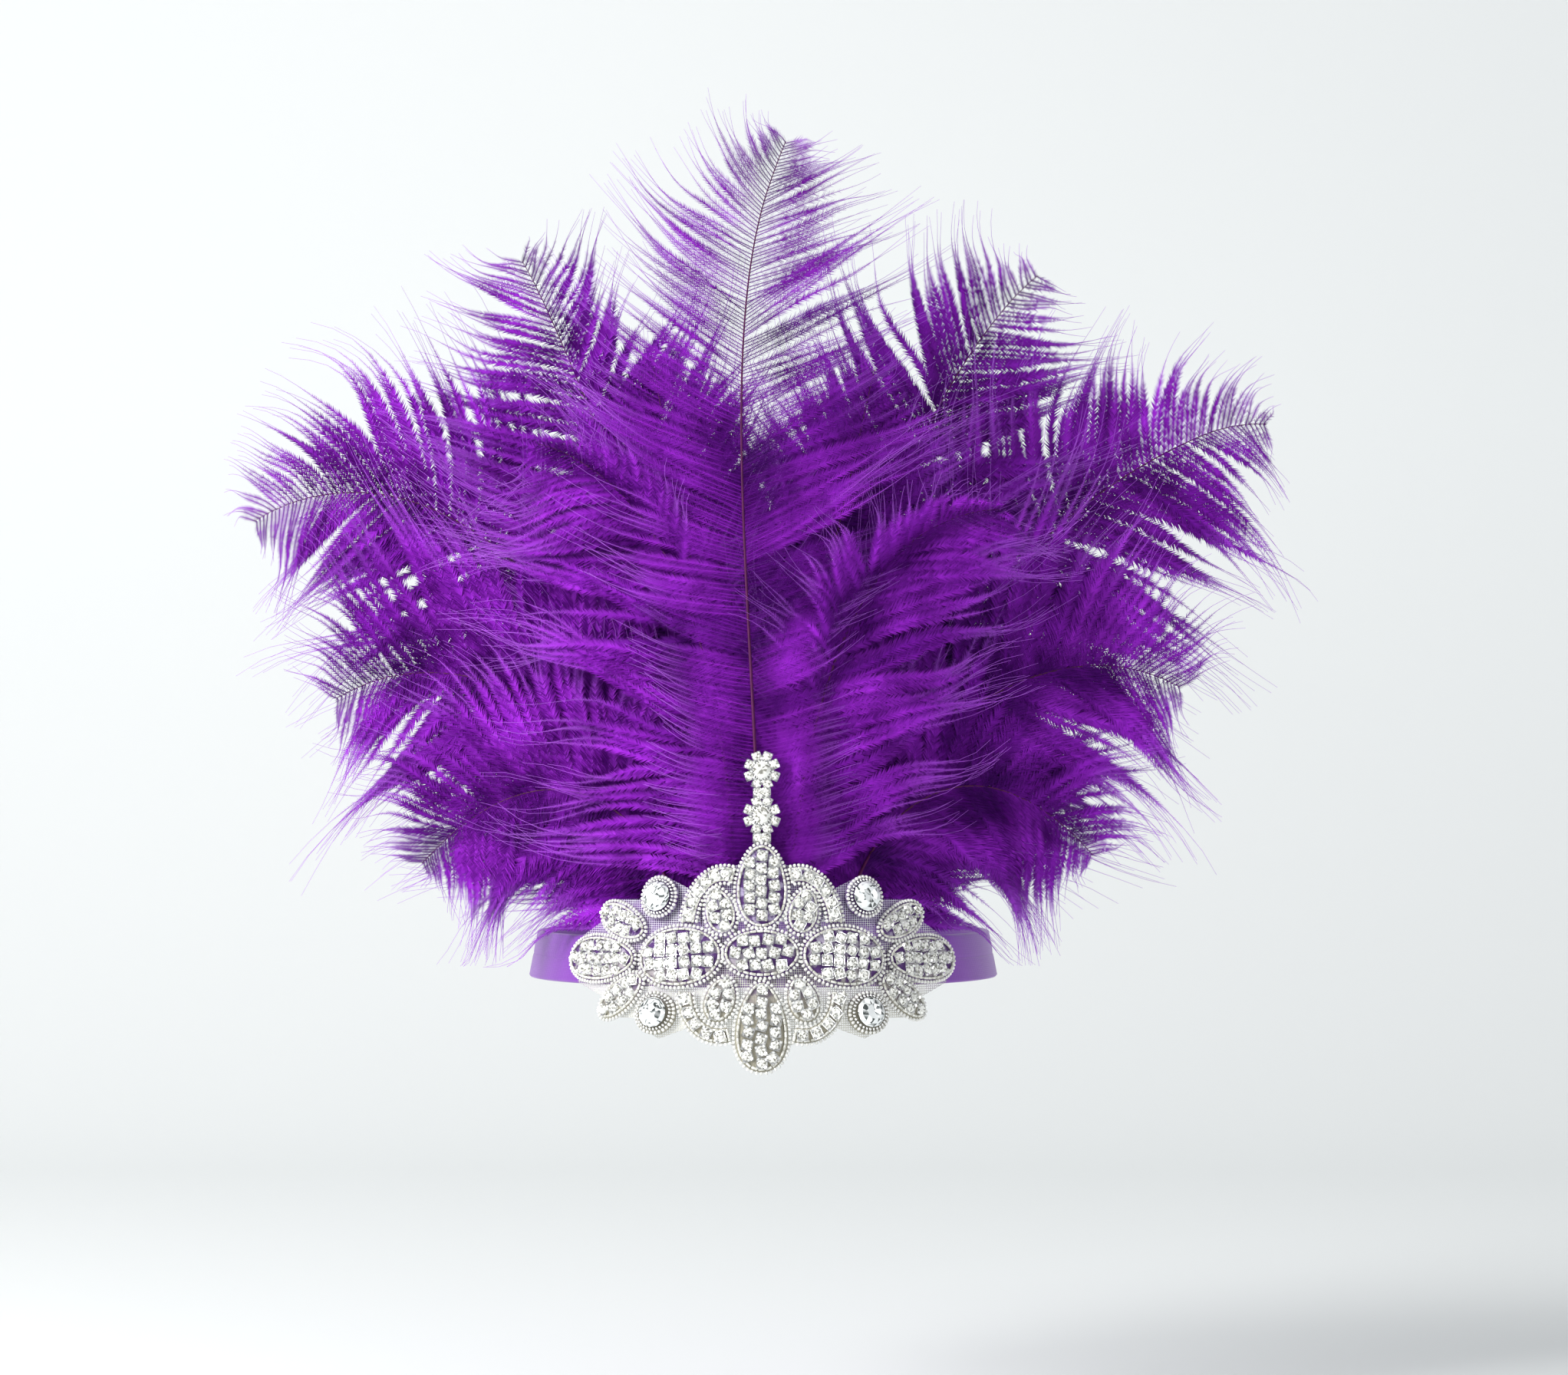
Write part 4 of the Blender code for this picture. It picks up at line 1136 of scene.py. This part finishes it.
def make_fields():
    """Every field of the tables; gives how many there are and their triangles."""
    rng = np.random.default_rng(11)
    fields = [(petal, 1, petal.name) for petal in MIDDLE_PETALS]
    fields += [(shape, side, f"{shape.name}_{label}") for side, label in SIDES
               for shape in SIDE_PETALS + SCROLLS]
    total = 0
    for shape, side, node in fields:
        if isinstance(shape, Petal):
            line, inner, outer = (petal_line(shape, side, inset)
                                  for inset in (0, PETAL_BUGLE_INSET, SEED_INSET))
            rows = filled_rows(line, (side * shape.s * PERCENT, shape.h * PERCENT))
            stones = petal_stones(shape, side)
        else:
            rows = [scroll_arc(shape, side, share, 40) for share in np.linspace(0, 1, 4)]
            inner, outer = (scroll_line(shape, side, inset)
                            for inset in (SCROLL_BUGLE_INSET, SEED_INSET))
            centre = scroll_arc(shape, side, 0.5, 60)
            stones = even_places(centre, STONE_PITCH, closed=False)
        plate = plate_mesh(rows, PLATE_SEAT, PLATE_FINISH, isinstance(shape, Petal))
        meshes = [plate] + field_meshes(stones, inner, outer, rng)
        total += triangles_of(dressed(node + "_stones", meshes, node, "stone"))
    return len(fields), total


print("stone fields and triangles:", make_fields())


# %% [markdown]
# ## The crystals, the stone trim, the net and the band
#
# The four large stones and the two-flower trim use the same shapes and the same wrap. The net
# lies behind every field, and the band is one soft-edged strip that closes on itself.

# %% The four crystals in their rings of beads
def ring_line(s, h, radius, count=48):
    angle = np.linspace(0, 2 * math.pi, count, endpoint=False)
    return np.stack([s + radius * np.cos(angle), h + radius * np.sin(angle)], axis=-1)


CRYSTAL_RADIUS = 0.0053
CRYSTAL_RING_RADIUS = 0.0071
CRYSTAL_LIFT = 0.0012
RING_LIFT = 0.0002
COLLAR_LIFT = 0.0009


def make_crystal(crystal, side, label, rng):
    """One large stone on its plate, with a silver collar and a ring of seed beads."""
    s, h = side * crystal.s * PERCENT, crystal.h * PERCENT
    top = PLATE_SEAT + PLATE_THICKNESS
    rows = filled_rows(ring_line(s, h, CRYSTAL_RING_RADIUS), (s, h))
    beads = even_places(ring_line(s, h, CRYSTAL_RING_RADIUS - BEAD_SIZE * 0.4), BEAD_SIZE * 0.97)
    collar = even_places(ring_line(s, h, CRYSTAL_RADIUS + 0.0002), BEAD_SIZE * 0.85)
    meshes = [
        plate_mesh(rows, PLATE_SEAT, PLATE_FINISH),
        set_on(CRYSTAL, CRYSTAL_FINISH, [(s, h, rng.uniform(0, 1))], top + CRYSTAL_LIFT,
               CRYSTAL_RADIUS * 0.95),
        set_on(SEED_BEAD, BEAD_FINISH, beads, top + RING_LIFT, BEAD_SIZE / 2, rng, 0.15),
        set_on(SEED_BEAD, SILVER, collar, top + COLLAR_LIFT, BEAD_SIZE * 0.40, rng, 0.1),
    ]
    dressed(f"{crystal.name}_{label}_stone", meshes, f"{crystal.name}_{label}", "crystal")


crystal_rng = np.random.default_rng(12)
for side, label in SIDES:
    for crystal in CRYSTALS:
        make_crystal(crystal, side, label, crystal_rng)
print("crystals set:", 2 * len(CRYSTALS))


# %% The two-flower stone trim up the foot of the centre plume
STONE_SINK = 0.0003
FLOWER_RADIUS = 0.0062
FLOWER_STONES = 8
FLOWER_STONE_SIZE = 0.0026
FLOWER_HEART_RADIUS = 0.0030
FLOWER_SPACING = 0.0151
BAR_WIDTH = 0.0058
BAR_STONE_PITCH = 0.0029
TRIM_CUP_LIFT = 0.0001
TRIM_STONE_LIFT = 0.0005
HEART_LIFT = 0.0008
HEART_COLLAR_LIFT = 0.0007
APPLIQUE_TOP = (MIDDLE_PETALS[0].h + MIDDLE_PETALS[0].half_length) * PERCENT


def make_flower_stem():
    """Two flowers of stones, one above the other, each with a bar of two stones below it."""
    rng = np.random.default_rng(13)
    bar_height = FLOWER_SPACING - 2 * FLOWER_RADIUS + 4 * STONE_SINK
    low_bar = APPLIQUE_TOP + GAP + bar_height / 2
    low_flower = low_bar + bar_height / 2 + FLOWER_RADIUS - 2 * STONE_SINK
    flowers = (low_flower, low_flower + FLOWER_SPACING)
    bars = (low_bar, low_flower + FLOWER_SPACING / 2)
    top = NET_SEAT + PLATE_THICKNESS
    cup_size = FLOWER_STONE_SIZE * 0.64
    meshes, small = [], []
    for centre in flowers:
        rows = filled_rows(ring_line(0, centre, FLOWER_RADIUS * 0.62, 24), (0, centre), 2)
        meshes.append(plate_mesh(rows, NET_SEAT, SILVER))
        reach = FLOWER_RADIUS - FLOWER_STONE_SIZE / 2
        angles = 2 * math.pi * (np.arange(FLOWER_STONES) + 0.5) / FLOWER_STONES
        small += [(reach * math.cos(a), centre + reach * math.sin(a), a) for a in angles]
    for centre in bars:
        corners = [[(s * BAR_WIDTH / 2, centre + h * bar_height / 2) for s in (-1, 1)]
                   for h in (-1, 1)]
        meshes.append(plate_mesh(corners, NET_SEAT, SILVER, closed=False))
        small += [(s * BAR_STONE_PITCH / 2, centre, 0) for s in (-1, 1)]
    hearts = [(0, centre, 0) for centre in flowers]
    rings = [ring_line(0, centre, FLOWER_HEART_RADIUS) for centre in flowers]
    collars = [place for ring in rings for place in even_places(ring, BEAD_SIZE * 0.7)]
    meshes += [
        set_on(CUP, SILVER, small, top + TRIM_CUP_LIFT, cup_size, rng, 0.08),
        set_on(STONE, STONE_FINISH, small, top + TRIM_STONE_LIFT, cup_size, rng, 0.12),
        set_on(HEART, STONE_FINISH, hearts, top + HEART_LIFT, FLOWER_HEART_RADIUS * 0.95),
        set_on(SEED_BEAD, SILVER, collars, top + HEART_COLLAR_LIFT, BEAD_SIZE * 0.3),
    ]
    return dressed("flower_stem_stones", meshes, "flower_stem", "stone")


print("stone trim:", triangles_of(make_flower_stem()), "triangles")


# %% The net that the applique is sewn to
NET_INSET = 0.0010
NET_CORNERS = 56


def net_rows():
    """Rows of points from the middle out to the reach of all the fields, as in the CAD part."""
    lines = [petal_line(petal, 1, 0) for petal in MIDDLE_PETALS]
    for side, _ in SIDES:
        lines += [petal_line(petal, side, 0) for petal in SIDE_PETALS]
        lines += [scroll_line(scroll, side, 0) for scroll in SCROLLS]
        lines += [ring_line(side * c.s * PERCENT, c.h * PERCENT, CRYSTAL_RING_RADIUS)
                  for c in CRYSTALS]
    reach = np.zeros(NET_CORNERS)
    for s, h in np.concatenate(lines):
        slot = int(round(math.atan2(h, s) / (2 * math.pi) * NET_CORNERS)) % NET_CORNERS
        reach[slot] = max(reach[slot], math.hypot(s, h) - NET_INSET)
    angle = 2 * math.pi * np.arange(NET_CORNERS) / NET_CORNERS
    edge = np.stack([reach * np.cos(angle), reach * np.sin(angle)], axis=-1)
    s, h = edge.T
    area = 0.5 * abs(np.sum(s * np.roll(h, -1) - h * np.roll(s, -1)))
    return filled_rows(edge, (0, 0), 14), area


rows, net_area = net_rows()
net_mesh = plate_mesh(rows, NET_SEAT, NET_FINISH, thickness=NET_THICKNESS * 0.5)
net = dressed("applique_net_cloth", [net_mesh], "applique_net", "net")
print("net area", round(net_area * 1e4, 1), "square centimetres")


# %% The satin elastic band
def band_material():
    """Purple satin elastic: fine ribs along it, a crease down its middle."""
    finish, shader, place = new_material("band_satin")
    along, up = attribute(place, "along"), attribute(place, "up")
    ribs = (up * 9500.0).sine()
    threads = (along * 5200.0).sine()
    crease = 1.0 - (up * up * 4.0e6).clamped()
    height = ribs * 0.00002 + threads * 0.00001 - crease * 0.00012
    normal = bumped(place, height, 0.7)
    # painted sheen: lighter and darker patches of the satin put into its base colour, with faint
    # stripes of its threads
    sheen = noise(place, 90.0) * 0.5 + threads * 0.04
    shade = sheen.colour((0.17, 0.03, 0.34), (0.27, 0.07, 0.48))
    set_shader(shader, place, Base_Color=shade, Roughness=0.38, Sheen_Weight=0.25,
               Sheen_Roughness=0.4, Sheen_Tint=(0.85, 0.7, 1.0, 1), Normal=normal)
    return finish


EDGE_SOFTNESS = 0.0005
CREASE_DEPTH = 0.00018
CREASE_WIDTH = 0.0006


def make_band(around=288):
    """A soft-edged strip swept round the head, closed on itself."""
    half, soft = BAND_HEIGHT / 2 / math.cos(SLOPE_ANGLE), EDGE_SOFTNESS
    profile = [(-half, -soft), (-half + soft, 0)]
    for h in np.linspace(-half + 2 * soft, half - 2 * soft, 21):
        profile.append((h, -CREASE_DEPTH * math.exp(-(h / CREASE_WIDTH) ** 2)))
    profile += [(half - soft, 0), (half, -soft), (half, -BAND_WALL + soft),
                (half - soft, -BAND_WALL), (-half + soft, -BAND_WALL), (-half, -BAND_WALL + soft)]
    h, t = np.array(profile).T
    s = np.linspace(-BAND_LENGTH / 2, BAND_LENGTH / 2, around, endpoint=False)
    points = on_band(s[:, None], h[None], t[None]).reshape(-1, 3)
    steps = len(profile)
    index = np.arange(around * steps).reshape(around, steps)
    ahead = np.roll(index, -1, axis=0)
    corners = (index, np.roll(index, -1, axis=1), np.roll(ahead, -1, axis=1), ahead)
    faces = np.stack(corners, axis=-1).reshape(-1, 4).tolist()
    mesh = mesh_of("band", points.tolist(), faces=faces)
    along, up = [], []
    for i in range(around):
        here, further = s[i], s[i] + BAND_LENGTH / around
        for j in range(steps):
            along += [here, here, further, further]
            up += [h[j], h[(j + 1) % steps], h[(j + 1) % steps], h[j]]
    store(mesh, "along", along, domain="CORNER")
    store(mesh, "up", up, domain="CORNER")
    solid = bmesh.new()
    solid.from_mesh(mesh)
    facing_out(solid, mesh)
    mesh.shade_smooth()
    mesh.materials.append(band_material())
    return dressed("headband_elastic", [mesh], "headband", "band")


band = make_band()
for item in SHAPES:
    bpy.data.objects.remove(item, do_unlink=True)
print("band made,", len(band.data.polygons), "faces")

# %% [markdown]
# ## The photograph
#
# The camera stands well in front and looks slightly up. The studio is white and lit from the
# left, by a large soft key lamp and a weak fill.

# %% Camera
CAMERA_TILT = 1.86
lens = bpy.data.cameras.new("camera")
lens.lens = 88.06
lens.sensor_width = 36
lens.sensor_fit = "HORIZONTAL"
camera = new_object("camera", lens)
camera.location = (0.00725, -1.350, 0.049)
camera.rotation_euler = (math.radians(90 + CAMERA_TILT), 0, 0)
bpy.context.scene.camera = camera


# %% Backdrop, sky and lamps
def area_light(name, place, aim, size, power, colour):
    """A rectangular lamp at a place, turned to face its aim."""
    lamp = bpy.data.lights.new(name, "AREA")
    lamp.shape = "RECTANGLE"
    lamp.size, lamp.size_y = size
    lamp.energy = power
    lamp.color = colour
    item = new_object(name, lamp)
    item.location = place
    item.rotation_euler = (Vector(aim) - Vector(place)).to_track_quat("-Z", "Y").to_euler()


area_light("key", (-1.3, -0.9, 0.9), (0, 0, 0.12), (0.7, 0.9), 38, (1.0, 0.99, 0.98))
area_light("fill", (1.1, -1.3, 0.3), (0, 0, 0.1), (0.8, 0.8), 5, (0.97, 0.98, 1.0))

world = bpy.data.worlds.new("studio")
world.use_nodes = True
sky = world.node_tree.nodes["Background"]
sky.inputs["Color"].default_value = (0.94, 0.96, 0.98, 1)
sky.inputs["Strength"].default_value = 0.5
bpy.context.scene.world = world


def backdrop():
    """A pale floor that sweeps up into a back wall."""
    profile = [(-2.4, -0.16)] + [(0.9 + 0.5 * math.sin(a), 0.34 - 0.5 * math.cos(a))
                                 for a in np.linspace(0, math.pi / 2, 12)] + [(1.4, 2.6)]
    points = [(x, y, z) for y, z in profile for x in (-2.5, 2.5)]
    faces = [(i, i + 1, i + 3, i + 2) for i in range(0, len(points) - 2, 2)]
    mesh = mesh_of("backdrop", points, faces=faces)
    item = new_object("backdrop", mesh)
    finish, shader, place = new_material("studio_white")
    set_shader(shader, place, Base_Color=(0.84, 0.86, 0.86, 1), Roughness=0.9,
               Emission_Color=(0.95, 0.98, 0.98, 1), Emission_Strength=0.03)
    mesh.materials.append(finish)
    mesh.shade_smooth()


backdrop()
bpy.context.scene.view_settings.view_transform = "Standard"
bpy.context.scene.view_settings.look = "None"
